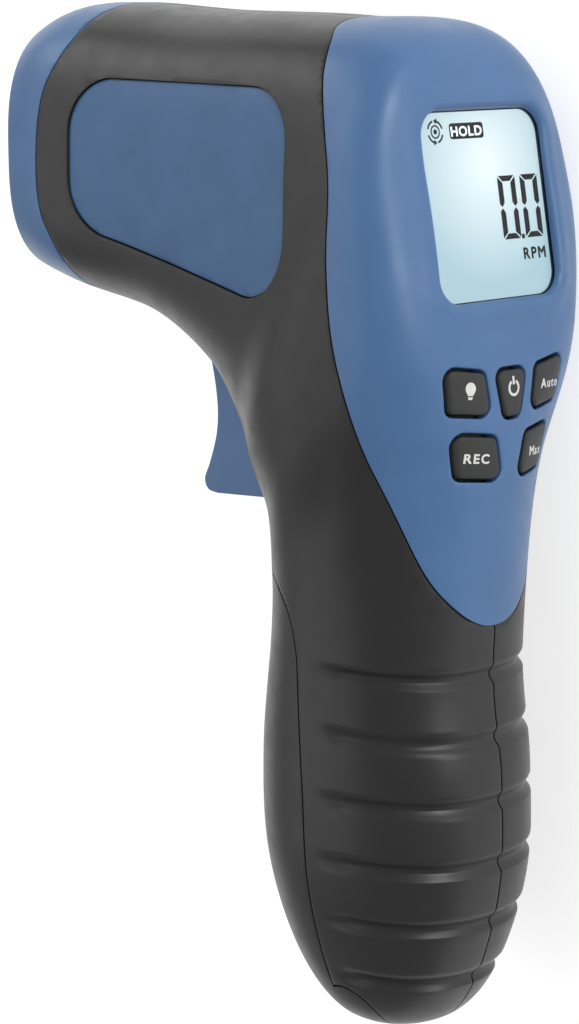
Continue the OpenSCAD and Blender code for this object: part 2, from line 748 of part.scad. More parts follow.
module board_capacitors() color("#30343c") laid() at_display() for (z = [-7, 7])
    translate([-board_back - 7, board_foot + 22, z]) rotate([0, 90, 0]) cylinder(r = 2.5, h = 7, $fn = 24);

module keypad_mat() color("#8a8f92") laid() at_display() {
    display_plate(board_depth, mat_top) {
        translate([0, (key_top + tongue_top) / 2]) square([board_w - 5, key_top - tongue_top], center = true);
        translate([-tongue_w / 2, board_foot + 1]) square([tongue_w, tongue_top - board_foot]);
    }
    for (k = KEYS) display_plate(mat_top + 0.1, mat_top - dome_h)
        translate(key_centre(k[0], k[1])) circle(r = dome_r, $fn = 24);
}

module key(points, turn) moulded(key_black) {
    intersection() {
        at_display() display_plate(key_foot, -far / 8) key_outline(points, turn, -key_gap / 2);
        skin(key_proud);
    }
    intersection() {
        at_display() display_plate(key_foot, 0) key_outline(points, turn, key_flange);
        cavity(-0.3);
    }
}

module key_lamp() key(KEYS[0][0], KEYS[0][1]);

module key_power() key(KEYS[1][0], KEYS[1][1]);

module key_auto() key(KEYS[2][0], KEYS[2][1]);

module key_record() key(KEYS[3][0], KEYS[3][1]);

module key_maximum() key(KEYS[4][0], KEYS[4][1]);

module lens_holder() color("#2a2a2c") laid() along_nose(plate_back, lens_y) rotate_extrude($fn = 64) polygon([
    [lens_bore_r, 0], [holder_r + 0.8, 0], [holder_r + 0.8, 2], [holder_r, 2], [holder_r - 2, holder_length],
    [sensor_r + 1, holder_length], [sensor_r + 1, holder_length - sensor_h - 1.4],
    [lens_r - 1.2, lens_seat - plate_back], [lens_r, lens_seat - plate_back], [lens_r, lens_bore_depth],
    [lens_bore_r, lens_bore_depth]
]);

module focus_lens() color("#cfe3ea", 0.6) laid() along_nose(lens_seat - lens_thick, lens_y) intersection() {
    cylinder(r = lens_r - 0.1, h = lens_thick, $fn = 64);
    translate([0, 0, 30]) sphere(r = 30, $fn = 96);
}

module laser_module() color(brass) laid() along_nose(plate_back, laser_y) difference() {
    cylinder(r = laser_r, h = holder_length, $fn = 48);
    translate([0, 0, -1]) cylinder(r = laser_r - 1.6, h = 4, $fn = 32);
}

module sensor_board() color(board_green) laid()
    translate([holder_back, sensor_board_low, -sensor_board_w / 2])
        cube([board_thick, sensor_board_high - sensor_board_low, sensor_board_w]);

module photo_sensor() color("#1e1e22") laid() along_nose(holder_back - sensor_h, lens_y)
    cylinder(r = sensor_r, h = sensor_h, $fn = 32);

module battery() color("#7d8288") laid() {
    translate([battery_x - battery_d / 2, battery_low, -battery_w / 2])
        cube([battery_d, battery_h, battery_w]);
    for (d = terminal_y) translate([battery_x + d, battery_top - 0.1, 0]) rotate([-90, 0, 0])
        cylinder(r = d < 0 ? 2.8 : 3.6, h = terminal_h + 0.1, $fn = 32);
}

module battery_snap() color("#202022") laid() difference() {
    translate([battery_x - 12.5, snap_low, -6.2]) cube([25, snap_thick, 12.4]);
    for (d = terminal_y) translate([battery_x + d, snap_low - 1, 0]) rotate([-90, 0, 0])
        cylinder(r = (d < 0 ? 2.8 : 3.6) + fit_gap, h = battery_top + terminal_h - snap_low + 1.3, $fn = 32);
}

// Place on the main board's rear face, as (lateral, up) in the display frame
function on_board(z, up) = [
    window_x - board_back * cos(window_tilt) - up * sin(window_tilt),
    window_y - board_back * sin(window_tilt) + up * cos(window_tilt),
    z
];
out_of_window = [cos(window_tilt), sin(window_tilt), 0];
lead_r = 0.7;
// Distance of a lead from the snap's middle
lead_spread = 3;
// Gap under the soldered end of a lead or ribbon
touch_gap = 0.12;

module battery_lead(side) laid() {
    pad = on_board(side * 4, board_foot + 6);
    start = [battery_x + lead_spread * side, snap_high + touch_gap, 0];
    rise = start + [0, 4, 0];
    reach = pad - 5 * out_of_window;
    route = [
        start, rise, (2 * rise + reach) / 3, (rise + 2 * reach) / 3, reach,
        pad - touch_gap * out_of_window
    ];
    wire(smooth_line(route, 2), lead_r, 8, [0, 0, 1]);
}

module battery_lead_red() color("#b03030") battery_lead(1);

module battery_lead_black() color("#1c1c1e") battery_lead(-1);

function side_view(p) = [p[0], p[1]];

// A flat ribbon of conductors, drawn as a line in the side view
module ribbon(route, width) {
    line = smooth_line(route, 4);
    count = len(line);
    normals = [for (i = [0 : count - 1])
        let (way = line[min(i + 1, count - 1)] - line[max(i - 1, 0)]) [-way[1], way[0]] / norm(way) * 0.4];
    linear_extrude(height = width, center = true) polygon(concat(
        [for (i = [0 : count - 1]) line[i] + normals[i]],
        [for (i = [count - 1 : -1 : 0]) line[i] - normals[i]]
    ));
}

module sensor_ribbon() color("#c9c9c4") laid() {
    pad = on_board(0, 8);
    start = [holder_back + board_thick + touch_gap, lens_y - 10];
    ribbon([start, start + [4, 0], [-30, lens_y - 13], [-14, lens_y - 12], side_view(pad - 4 * out_of_window),
        side_view(pad - touch_gap * out_of_window)], 8);
}

module switch_ribbon() color("#c9c9c4") laid() {
    pad = on_board(0, board_foot + 16);
    start = [switch_board_x + board_thick + touch_gap, pivot_y - 5];
    ribbon([start, start + [3, 0], side_view(pad - 5 * out_of_window),
        side_view(pad - touch_gap * out_of_window)], 6);
}

module housing_screws() color(steel) laid() for (p = SCREWS) translate([p[0], p[1], 0]) {
    translate([0, 0, -screw_seat]) cylinder(r = screw_r, h = screw_seat + screw_tip, $fn = 24);
    translate([0, 0, -screw_seat - screw_head_h]) difference() {
        cylinder(r = screw_head_r, h = screw_head_h, $fn = 32);
        for (turn = [0, 90]) rotate([0, 0, turn]) translate([-1.6, -0.35, -1]) cube([3.2, 0.7, 2]);
    }
}

module board_screws() color(steel) laid() at_display() for (p = POSTS)
    translate([-board_back, p[1], p[0]]) rotate([0, 90, 0]) {
        cylinder(r = post_hole_r, h = board_thick + 4, $fn = 24);
        translate([0, 0, -1.2]) cylinder(r = 1.8, h = 1.2, $fn = 24);
    }

left_housing();
right_housing();
rear_bezel();
nose_cap();
left_side_panel();
right_side_panel();
battery_door();
door_hinge_pin();
trigger();
trigger_pin();
trigger_spring();
trigger_switch();
switch_board();
display_window();
lcd_panel();
backlight_panel();
display_frame();
main_board();
controller_chip();
board_capacitors();
keypad_mat();
key_lamp();
key_power();
key_auto();
key_record();
key_maximum();
lens_holder();
focus_lens();
laser_module();
sensor_board();
photo_sensor();
battery();
battery_snap();
battery_lead_red();
battery_lead_black();
sensor_ribbon();
switch_ribbon();
housing_screws();
board_screws();
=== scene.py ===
"""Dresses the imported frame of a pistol-grip laser tachometer for its studio picture."""

import logging
import math
from collections.abc import Callable
from dataclasses import dataclass, field
from enum import Enum
from functools import partial

import bpy
import numpy as np
from mathutils import Matrix, Vector
from mathutils.bvhtree import BVHTree


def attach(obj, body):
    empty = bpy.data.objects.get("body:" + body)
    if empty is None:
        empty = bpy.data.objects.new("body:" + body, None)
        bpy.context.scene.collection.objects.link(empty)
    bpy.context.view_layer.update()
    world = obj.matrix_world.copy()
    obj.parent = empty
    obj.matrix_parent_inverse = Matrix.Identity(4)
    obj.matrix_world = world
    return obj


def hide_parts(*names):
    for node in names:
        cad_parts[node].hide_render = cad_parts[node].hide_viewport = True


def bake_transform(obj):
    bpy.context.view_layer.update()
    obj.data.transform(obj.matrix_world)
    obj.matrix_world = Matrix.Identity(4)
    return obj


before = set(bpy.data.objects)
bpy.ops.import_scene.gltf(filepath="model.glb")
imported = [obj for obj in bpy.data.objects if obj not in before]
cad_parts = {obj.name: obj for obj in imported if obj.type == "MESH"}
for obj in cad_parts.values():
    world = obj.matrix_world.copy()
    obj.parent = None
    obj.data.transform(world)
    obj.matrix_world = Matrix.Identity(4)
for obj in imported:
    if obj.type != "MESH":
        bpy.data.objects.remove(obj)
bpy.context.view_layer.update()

MM = 0.001
FAR = 300.0
RAY_START = 30.0
CAPITAL = 0.73
Piece = bpy.types.Object
Socket = bpy.types.NodeSocket
Ground = Callable[[np.ndarray], np.ndarray]
Colour = tuple[float, float, float]
Point = tuple[float, float, float]
Points = list[tuple[float, float]]
LOG = logging.getLogger("tachometer")


class Carrier(Enum):
    """The bodies of the frame that pieces ride on."""

    HOUSING = "body"
    TRIGGER = "trigger_lever"
    DOOR = "door"
    LAMP = "lamp_button"
    POWER = "power_button"
    AUTO = "auto_button"
    RECORD = "record_button"
    MAXIMUM = "maximum_button"


class Cut(Enum):
    """The ways in which one solid shapes another."""

    AWAY = "DIFFERENCE"
    WITHIN = "INTERSECT"
    JOIN = "UNION"


@dataclass(frozen=True)
class Sizes:
    """Sizes of the body in millimetres, in the axes of its sketch.

    The sketch has x from the nose to the rear, y from the grip's foot to the head and z to the left side.
    """

    nose_x: float = -71.0
    head_top: float = 161.0
    head_half: float = 24.6
    nose_half: float = 19.2
    nose_height: float = 42.2
    rear_reach: float = 23.3
    grip_waist: float = 64.0
    grip_half: float = 18.8
    grip_back: float = 22.0
    waist_back: float = 20.0
    wall: float = 2.4
    half_gap: float = 0.15
    nose_rim: float = 2.0
    groove_count: int = 6
    groove_top: float = 61.0
    groove_pitch: float = 9.85
    groove_depth: float = 0.9
    middle_x: float = -23.751
    middle_y: float = 81.3001
    rest_z: float = 24.6
    window_x: float = 18.7379
    window_y: float = 133.0
    window_tilt: float = 10.1453
    window_width: float = 27.0
    window_height: float = 28.4
    window_corner: float = 4.0
    window_recess: float = 0.9

    @property
    def nose_top(self) -> float:
        """Height of the nose face's upper edge."""
        return self.head_top - 1.6

    @property
    def nose_foot(self) -> float:
        """Height of the nose face's lower edge."""
        return self.nose_top - self.nose_height


SIZE = Sizes()


def to_frame(points: np.ndarray) -> np.ndarray:
    """Turn points of the sketch into points of the frame.

    Args:
        points: Points in millimetres, three to a row.

    Returns:
        The same points in metres, as the part lies on its right side.
    """
    return (np.asarray(points, float) - [SIZE.middle_x, SIZE.middle_y, -SIZE.rest_z]) * MM


def from_display(points: np.ndarray) -> np.ndarray:
    """Turn points of the display's own axes into points of the sketch.

    Args:
        points: Rows of (out of the window, up the window, lateral) in millimetres.

    Returns:
        The same points in the sketch's axes.
    """
    points = np.asarray(points, float)
    tilt = math.radians(SIZE.window_tilt)
    out, up = points[..., 0], points[..., 1]
    return np.stack([
        SIZE.window_x + out * math.cos(tilt) - up * math.sin(tilt),
        SIZE.window_y + out * math.sin(tilt) + up * math.cos(tilt),
        points[..., 2],
    ], -1)


def on_display(line: np.ndarray, height: float | np.ndarray) -> np.ndarray:
    """Place rows of (lateral, up) at a height out of the window, as points of the sketch."""
    return from_display(np.column_stack([np.broadcast_to(height, len(line)), line[:, 1], line[:, 0]]))


def height_on(ground: BVHTree, rows: np.ndarray, miss: float) -> np.ndarray:
    """Find how far a surface stands out of the display's plane.

    Args:
        ground: The surface.
        rows: Rows of (lateral, up) in the display's axes, in millimetres.
        miss: Height where there is no surface.

    Returns:
        The height at each row in millimetres.
    """
    tilt = math.radians(SIZE.window_tilt)
    way = Vector((-math.cos(tilt), -math.sin(tilt), 0.0))
    hits = [ground.ray_cast(Vector(start), way)[3] for start in to_frame(on_display(rows, RAY_START))]
    return np.array([miss if hit is None else RAY_START - hit / MM for hit in hits])


def level(height: float, rows: np.ndarray) -> np.ndarray:
    """Give the same height at every row."""
    return np.full(len(rows), height)


def along(table: np.ndarray, places: np.ndarray) -> np.ndarray:
    """Follow a smooth curve through the rows of a table.

    Args:
        table: The rows that the curve passes through.
        places: Places along the curve, counted in rows.

    Returns:
        One interpolated row for each place.
    """
    table, places = np.asarray(table, float), np.asarray(places, float)
    last = len(table) - 1
    i = np.minimum(places.astype(int), last - 1)
    t = (places - i)[:, None]
    a, b, c, d = (table[np.clip(i + k, 0, last)] for k in (-1, 0, 1, 2))
    return (2 * b + (c - a) * t + (2 * a - 5 * b + 4 * c - d) * t**2 + (3 * b - a - 3 * c + d) * t**3) / 2


def smooth_line(points: Points, steps: int) -> np.ndarray:
    """Sample the smooth curve through some points, with a number of steps between each two."""
    return along(points, np.arange(steps * (len(points) - 1) + 1) / steps)


def ease(t: np.ndarray) -> np.ndarray:
    """Blend softly from 0 to 1."""
    t = np.clip(t, 0, 1)
    return t * t * (3 - 2 * t)


def normals_of(line: np.ndarray, closed: bool) -> np.ndarray:
    """Find the unit normals on the right-hand side of a flat line.

    Args:
        line: Points of the line, two to a row.
        closed: Whether the last point is followed by the first.

    Returns:
        One normal for each point.
    """
    if closed:
        way = np.roll(line, -1, 0) - np.roll(line, 1, 0)
    else:
        way = np.gradient(line, axis=0)
    way = way / np.linalg.norm(way, axis=1)[:, None]
    return np.stack([way[:, 1], -way[:, 0]], 1)


def rounded(corners: Points, radius: float, steps: int = 8, spacing: float = 0.8) -> np.ndarray:
    """Round the corners of a convex outline and fill its straight edges with points.

    Args:
        corners: The corners in order.
        radius: Radius of each corner.
        steps: Steps of each corner's arc.
        spacing: Greatest distance of the points along the straight edges.

    Returns:
        The points of the rounded outline, counter-clockwise.
    """
    corners = np.asarray(corners, float)
    area = np.sum(corners[:, 0] * np.roll(corners[:, 1], -1) - np.roll(corners[:, 0], -1) * corners[:, 1])
    if area < 0:
        corners = corners[::-1]
    arcs = []
    for k, corner in enumerate(corners):
        back = corners[k - 1] - corner
        on = corners[(k + 1) % len(corners)] - corner
        back, on = back / np.linalg.norm(back), on / np.linalg.norm(on)
        half = math.acos(float(np.clip(back @ on, -1, 1))) / 2
        centre = corner + (back + on) / np.linalg.norm(back + on) * radius / math.sin(half)
        first = corner + back * radius / math.tan(half) - centre
        turn = (math.pi - 2 * half) * np.arange(steps + 1) / steps
        c, s = np.cos(turn)[:, None], np.sin(turn)[:, None]
        arcs.append(centre + first * c + np.array([-first[1], first[0]]) * s)
    line = []
    for k, arc in enumerate(arcs):
        line.extend(arc)
        gap = arcs[(k + 1) % len(arcs)][0] - arc[-1]
        count = int(np.linalg.norm(gap) / spacing)
        line.extend(arc[-1] + gap * n / (count + 1) for n in range(1, count + 1))
    return np.array(line)


def box_corners(width: float, height: float) -> Points:
    """List the corners of a rectangle about the origin."""
    return [(-width / 2, -height / 2), (width / 2, -height / 2), (width / 2, height / 2), (-width / 2, height / 2)]


class Bench:
    """Blender's operators, as a model maker uses them on one piece at a time."""

    @staticmethod
    def clear() -> None:
        """Leave every object unselected, in object mode."""
        if bpy.context.mode != "OBJECT":
            bpy.ops.object.mode_set(mode="OBJECT")
        bpy.ops.object.select_all(action="DESELECT")

    @classmethod
    def pick(cls, piece: Piece) -> None:
        """Select one piece alone and make it the active one."""
        cls.clear()
        piece.select_set(True)
        bpy.context.view_layer.objects.active = piece

    @staticmethod
    def named(name: str) -> Piece:
        """Name the active piece and its mesh."""
        piece = bpy.context.object
        piece.name = piece.data.name = name
        return piece

    @classmethod
    def close(cls, piece: Piece) -> None:
        """Merge the doubles of a piece, fill its open ends and turn its faces outwards."""
        cls.pick(piece)
        bpy.ops.object.mode_set(mode="EDIT")
        bpy.ops.mesh.select_all(action="SELECT")
        bpy.ops.mesh.remove_doubles(threshold=1e-8)
        bpy.ops.mesh.fill_holes(sides=0)
        bpy.ops.mesh.select_all(action="SELECT")
        bpy.ops.mesh.normals_make_consistent(inside=False)
        bpy.ops.object.mode_set(mode="OBJECT")

    @classmethod
    def lofted(cls, name: str, rings: np.ndarray) -> Piece:
        """Lay a grid primitive over a stack of rings and close it to a solid.

        Args:
            name: Name of the piece.
            rings: Points of the sketch in millimetres, as rings of points.

        Returns:
            The closed solid, in the frame.
        """
        count, points = rings.shape[:2]
        cls.clear()
        bpy.ops.mesh.primitive_grid_add(x_subdivisions=points, y_subdivisions=count - 1, size=2)
        piece = cls.named(name)
        grid = np.empty(len(piece.data.vertices) * 3)
        piece.data.vertices.foreach_get("co", grid)
        grid = (grid.reshape(-1, 3)[:, :2] + 1) / 2
        ring = np.rint(grid[:, 1] * (count - 1)).astype(int)
        place = np.rint(grid[:, 0] * points).astype(int) % points
        piece.data.vertices.foreach_set("co", to_frame(rings[ring, place]).ravel())
        cls.close(piece)
        return piece

    @classmethod
    def prism(cls, name: str, outline: np.ndarray, low: float, high: float) -> Piece:
        """Extrude a flat outline of the side view across the body.

        Args:
            name: Name of the piece.
            outline: Points of the sketch, two to a row.
            low: Lateral place of the right-hand face.
            high: Lateral place of the left-hand face.

        Returns:
            The closed solid, in the frame.
        """
        rings = [np.column_stack([outline, np.full(len(outline), z)]) for z in (low, high)]
        return cls.lofted(name, np.array(rings))

    @classmethod
    def rod(cls, name: str, start: Point, end: Point, radius: float, sides: int = 48) -> Piece:
        """Add a cylinder between two points of the sketch.

        Args:
            name: Name of the piece.
            start: Middle of one end in millimetres.
            end: Middle of the other end in millimetres.
            radius: Radius in millimetres.
            sides: Number of sides.

        Returns:
            The cylinder, in the frame.
        """
        way = Vector(end) - Vector(start)
        middle = to_frame((np.asarray(start, float) + np.asarray(end, float)) / 2)
        cls.clear()
        bpy.ops.mesh.primitive_cylinder_add(
            vertices=sides, radius=radius * MM, depth=way.length * MM, location=middle,
            rotation=way.to_track_quat("Z", "Y").to_euler(),
        )
        bpy.ops.object.transform_apply(location=True, rotation=True, scale=True)
        return cls.named(name)

    @classmethod
    def block(cls, name: str, low: Point, high: Point) -> Piece:
        """Add a box between two corners of the sketch, in millimetres."""
        low, high = to_frame(np.asarray(low, float)), to_frame(np.asarray(high, float))
        cls.clear()
        bpy.ops.mesh.primitive_cube_add(size=1, location=(low + high) / 2, scale=high - low)
        bpy.ops.object.transform_apply(location=True, rotation=True, scale=True)
        return cls.named(name)

    @classmethod
    def joined(cls, name: str, pieces: list[Piece]) -> Piece:
        """Join pieces that lie apart into one object."""
        cls.clear()
        for piece in pieces:
            piece.select_set(True)
        bpy.context.view_layer.objects.active = pieces[0]
        bpy.ops.object.join()
        return cls.named(name)

    @classmethod
    def shape(cls, piece: Piece, how: Cut, *tools: Piece) -> Piece:
        """Shape a piece with other solids, which are used up.

        Args:
            piece: The piece to shape.
            how: How the tools act on it.
            tools: The solids that act, one after the other.

        Returns:
            The shaped piece.
        """
        for tool in tools:
            cls.pick(piece)
            bpy.ops.object.modifier_add(type="BOOLEAN")
            cutter = piece.modifiers[-1]
            cutter.operation, cutter.solver, cutter.object = how.value, "MANIFOLD", tool
            bpy.ops.object.modifier_apply(modifier=cutter.name)
            bpy.data.objects.remove(tool)
        return piece

    @classmethod
    def twin(cls, piece: Piece, name: str) -> Piece:
        """Copy a piece together with its mesh."""
        cls.pick(piece)
        bpy.ops.object.duplicate()
        return cls.named(name)

    @classmethod
    def round_edges(cls, piece: Piece, width: float, segments: int, angle: float) -> None:
        """Round the sharp edges of a piece.

        Args:
            piece: The piece to round.
            width: Width of the rounding in millimetres.
            segments: Steps of the rounding.
            angle: Least angle of an edge that is rounded, in degrees.
        """
        cls.pick(piece)
        bpy.ops.object.modifier_add(type="BEVEL")
        bevel = piece.modifiers[-1]
        bevel.width, bevel.segments = width * MM, segments
        bevel.limit_method, bevel.angle_limit = "ANGLE", math.radians(angle)
        bevel.use_clamp_overlap = True
        bpy.ops.object.modifier_apply(modifier=bevel.name)

    @classmethod
    def smooth(cls, piece: Piece, angle: float = 28.0) -> None:
        """Shade a piece smooth, with the edges that turn more than an angle left sharp."""
        cls.pick(piece)
        bpy.ops.object.shade_smooth_by_angle(angle=math.radians(angle))


def set_in(piece: Piece, body: Carrier, finish: "Finish", *nodes: str) -> Piece:
    """Give a piece its finish, let it ride on a body and stand for nodes of the frame.

    Args:
        piece: The finished piece.
        body: The body that carries it.
        finish: Its finish.
        nodes: The nodes that it stands for.

    Returns:
        The piece.
    """
    piece.data.materials.clear()
    piece.data.materials.append(finish.material())
    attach(piece, body.value)
    if nodes:
        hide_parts(*nodes)
    LOG.info("%s rides on %s, %d faces", piece.name, body.value, len(piece.data.polygons))
    return piece


class NodeBoard:
    """A material's node tree, with short ways to add and join nodes."""

    def __init__(self, name: str) -> None:
        """Start a material with the given name."""
        self.material = bpy.data.materials.new(name)
        self.material.use_nodes = True
        self.tree = self.material.node_tree
        self.shader = self.tree.nodes["Principled BSDF"]
        self.place = self.add("ShaderNodeTexCoord").outputs["Object"]

    def add(self, kind: str, **values: object) -> bpy.types.Node:
        """Add a node and set its inputs or properties.

        Args:
            kind: The node's type.
            values: Inputs by their name with underscores for blanks, or properties of the node.

        Returns:
            The new node.
        """
        node = self.tree.nodes.new(kind)
        for key, value in values.items():
            name = key.replace("_", " ").title() if key.replace("_", " ").title() in node.inputs else key
            if name in node.inputs:
                self.feed(node.inputs[name], value)
            else:
                setattr(node, key, value)
        return node

    def feed(self, socket: Socket, value: object) -> None:
        """Link an output to a socket, or set the socket's own value."""
        if isinstance(value, Socket):
            self.tree.links.new(value, socket)
        else:
            socket.default_value = value

    def surface(self, **values: object) -> None:
        """Set or link inputs of the surface shader by their names."""
        for key, value in values.items():
            self.feed(self.shader.inputs[key.replace("_", " ").title().replace("Ior", "IOR")], value)

    def noise(self, size_mm: float, detail: float = 2.0, roughness: float = 0.5) -> Socket:
        """Make a noise whose features have about the given size."""
        return self.add(
            "ShaderNodeTexNoise", vector=self.place, scale=1 / (size_mm * MM), detail=detail, roughness=roughness
        ).outputs["Fac"]

    def span(
        self, value: Socket, low: float, high: float, to_low: float = 0.0, to_high: float = 1.0
    ) -> Socket:
        """Map a value from one span onto another, held at the ends."""
        node = self.add("ShaderNodeMapRange", value=value)
        for name, number in (("From Min", low), ("From Max", high), ("To Min", to_low), ("To Max", to_high)):
            node.inputs[name].default_value = number
        return node.outputs["Result"]

    def mix(self, share: object, first: object, second: object) -> Socket:
        """Mix two colours by a share."""
        node = self.add("ShaderNodeMix", data_type="RGBA")
        for index, value in ((0, share), (6, first), (7, second)):
            if not isinstance(value, (Socket, float, int)):
                value = (*value, 1.0)
            self.feed(node.inputs[index], value)
        return node.outputs[2]

    def bump(self, height: Socket, depth_mm: float, strength: float = 1.0) -> Socket:
        """Turn a height into a bumped normal."""
        return self.add("ShaderNodeBump", height=height, distance=depth_mm * MM, strength=strength).outputs["Normal"]


@dataclass(frozen=True)
class Finish:
    """A surface finish, made once as a material and shared by its pieces."""

    name: str
    slot: str = ""

    def material(self) -> bpy.types.Material:
        """Give the finish's material, which is made on first use."""
        found = bpy.data.materials.get(self.name)
        if found:
            return found
        board = NodeBoard(self.name)
        self.dress(board)
        return board.material

    def dress(self, board: NodeBoard) -> None:
        """Fill the material's node tree."""


@dataclass(frozen=True)
class Moulding(Finish):
    """A moulded plastic or rubber with a fine eroded grain and a faint mottle."""

    colour: Colour = (0.5, 0.5, 0.5)
    mottle: float = 0.06
    rough: float = 0.45
    grain: float = 0.22
    depth: float = 0.004
    specular: float = 0.5

    def dress(self, board: NodeBoard) -> None:
        """Mix two close tones, let the gloss wander and press the grain in."""
        cloud = board.noise(9.0, 3.0)
        dark = tuple(c * (1 - self.mottle) for c in self.colour)
        pale = tuple(min(1.0, c * (1 + self.mottle)) for c in self.colour)
        board.surface(
            base_color=board.mix(board.span(cloud, 0.35, 0.65), dark, pale),
            roughness=board.span(board.noise(3.5, 3.0), 0.3, 0.7, self.rough - 0.04, self.rough + 0.04),
            normal=board.bump(board.noise(self.grain, 2.0, 0.6), self.depth),
        )
        board.shader.inputs["Specular IOR Level"].default_value = self.specular


@dataclass(frozen=True)
class Print(Finish):
    """A thin layer of ink or a liquid crystal segment, which can be given a painted glow."""

    colour: Colour = (0.85, 0.85, 0.85)
    rough: float = 0.5
    painted_glow: float = 0.0
    specular: float = 0.5

    def dress(self, board: NodeBoard) -> None:
        """Lay the ink down with a slightly uneven tone."""
        tone = board.span(board.noise(0.5), 0.3, 0.7)
        colour = board.mix(tone, tuple(c * 0.94 for c in self.colour), self.colour)
        board.surface(base_color=colour, roughness=self.rough)
        board.shader.inputs["Specular IOR Level"].default_value = self.specular
        # Painted light: a glow makes the print shine as if lit from behind.
        if self.painted_glow:
            board.surface(emission_color=colour, emission_strength=self.painted_glow)


@dataclass(frozen=True)
class Screen(Finish):
    """A liquid crystal panel that glows as if lit from behind, with a painted pool of light brightest near its upper
    right; the glow also paints light over the shade of the window's recess.
    """

    painted_spot_colour: Colour = (0.86, 0.98, 1.0)
    dim: Colour = (0.41, 0.61, 0.69)
    painted_glow: float = 0.86
    painted_light_spot: tuple = (-1.7, 6.0, -1.0)
    reach: tuple = (0.002, 0.018)

    def dress(self, board: NodeBoard) -> None:
        """Paint a pool of light that falls off from the bright spot, and mottle it a little."""
        painted_light_spot = to_frame(from_display(np.array(self.painted_light_spot)))
        away = board.add("ShaderNodeVectorMath", operation="DISTANCE")
        board.feed(away.inputs[0], board.place)
        away.inputs[1].default_value = painted_light_spot
        share = board.span(away.outputs["Value"], *self.reach)
        tone = board.mix(share, self.painted_spot_colour, self.dim)
        grain = board.span(board.noise(0.4), 0.3, 0.7, 0.0, 0.06)
        tone = board.mix(grain, tone, self.dim)
        # Painted light: the emission makes the panel glow and lifts the recess's shade off it.
        board.surface(
            base_color=board.mix(0.85, tone, (0.0, 0.0, 0.0)), emission_color=tone,
            emission_strength=self.painted_glow, roughness=0.35,
        )


@dataclass(frozen=True)
class Clear(Finish):
    """A clear polished plastic or glass."""

    colour: Colour = (1.0, 1.0, 1.0)
    ior: float = 1.45

    def dress(self, board: NodeBoard) -> None:
        """Let light through, with faint polishing marks in the gloss."""
        board.surface(
            base_color=board.mix(board.noise(12.0), self.colour, tuple(c * 0.985 for c in self.colour)),
            roughness=board.span(board.noise(6.0), 0.4, 0.8, 0.01, 0.04),
            transmission_weight=1.0, ior=self.ior,
        )


@dataclass(frozen=True)
class Metal(Finish):
    """A turned or plated metal with fine tool marks."""

    colour: Colour = (0.6, 0.6, 0.62)
    rough: float = 0.3
    marks: tuple = (1.0, 1.0, 12.0)

    def dress(self, board: NodeBoard) -> None:
        """Stretch a noise along the tool's way for the gloss and the grooves."""
        stretched = board.add("ShaderNodeMapping", vector=board.place)
        stretched.inputs["Scale"].default_value = self.marks
        lines = board.add(
            "ShaderNodeTexNoise", vector=stretched.outputs["Vector"], scale=2500.0, detail=2.0
        ).outputs["Fac"]
        board.surface(
            base_color=board.mix(lines, tuple(c * 0.85 for c in self.colour), self.colour),
            metallic=1.0, roughness=board.span(lines, 0.3, 0.7, self.rough - 0.08, self.rough + 0.08),
            normal=board.bump(lines, 0.002),
        )


@dataclass(frozen=True)
class Circuit(Finish):
    """A board with copper tracks under its solder mask."""

    mask: Colour = (0.02, 0.12, 0.05)
    track: Colour = (0.05, 0.24, 0.10)

    def dress(self, board: NodeBoard) -> None:
        """Lay tracks as a brick pattern across the board."""
        turned = board.add("ShaderNodeMapping", vector=board.place)
        turned.inputs["Rotation"].default_value = (0.0, math.radians(90), math.radians(SIZE.window_tilt))
        tracks = board.add(
            "ShaderNodeTexBrick", vector=turned.outputs["Vector"], scale=420.0, mortar_size=0.03, mortar_smooth=0.2
        ).outputs["Fac"]
        board.surface(
            base_color=board.mix(tracks, self.mask, self.track), roughness=0.32, normal=board.bump(tracks, 0.03)
        )


@dataclass(frozen=True)
class Jacket(Finish):
    """A battery's printed steel jacket: a dark lower part and a pale band on top."""

    lower: Colour = (0.03, 0.032, 0.036)
    band: Colour = (0.42, 0.30, 0.12)
    edge_y: float = 52.0
    blur: float = 0.0002

    def dress(self, board: NodeBoard) -> None:
        """Change the colour at the band's edge."""
        split = board.add("ShaderNodeSeparateXYZ", vector=board.place).outputs["Y"]
        edge = (self.edge_y - SIZE.middle_y) * MM
        share = board.span(split, edge, edge + self.blur)
        board.surface(
            base_color=board.mix(share, self.lower, self.band), metallic=0.6,
            roughness=board.span(board.noise(2.0), 0.3, 0.7, 0.28, 0.36),
        )


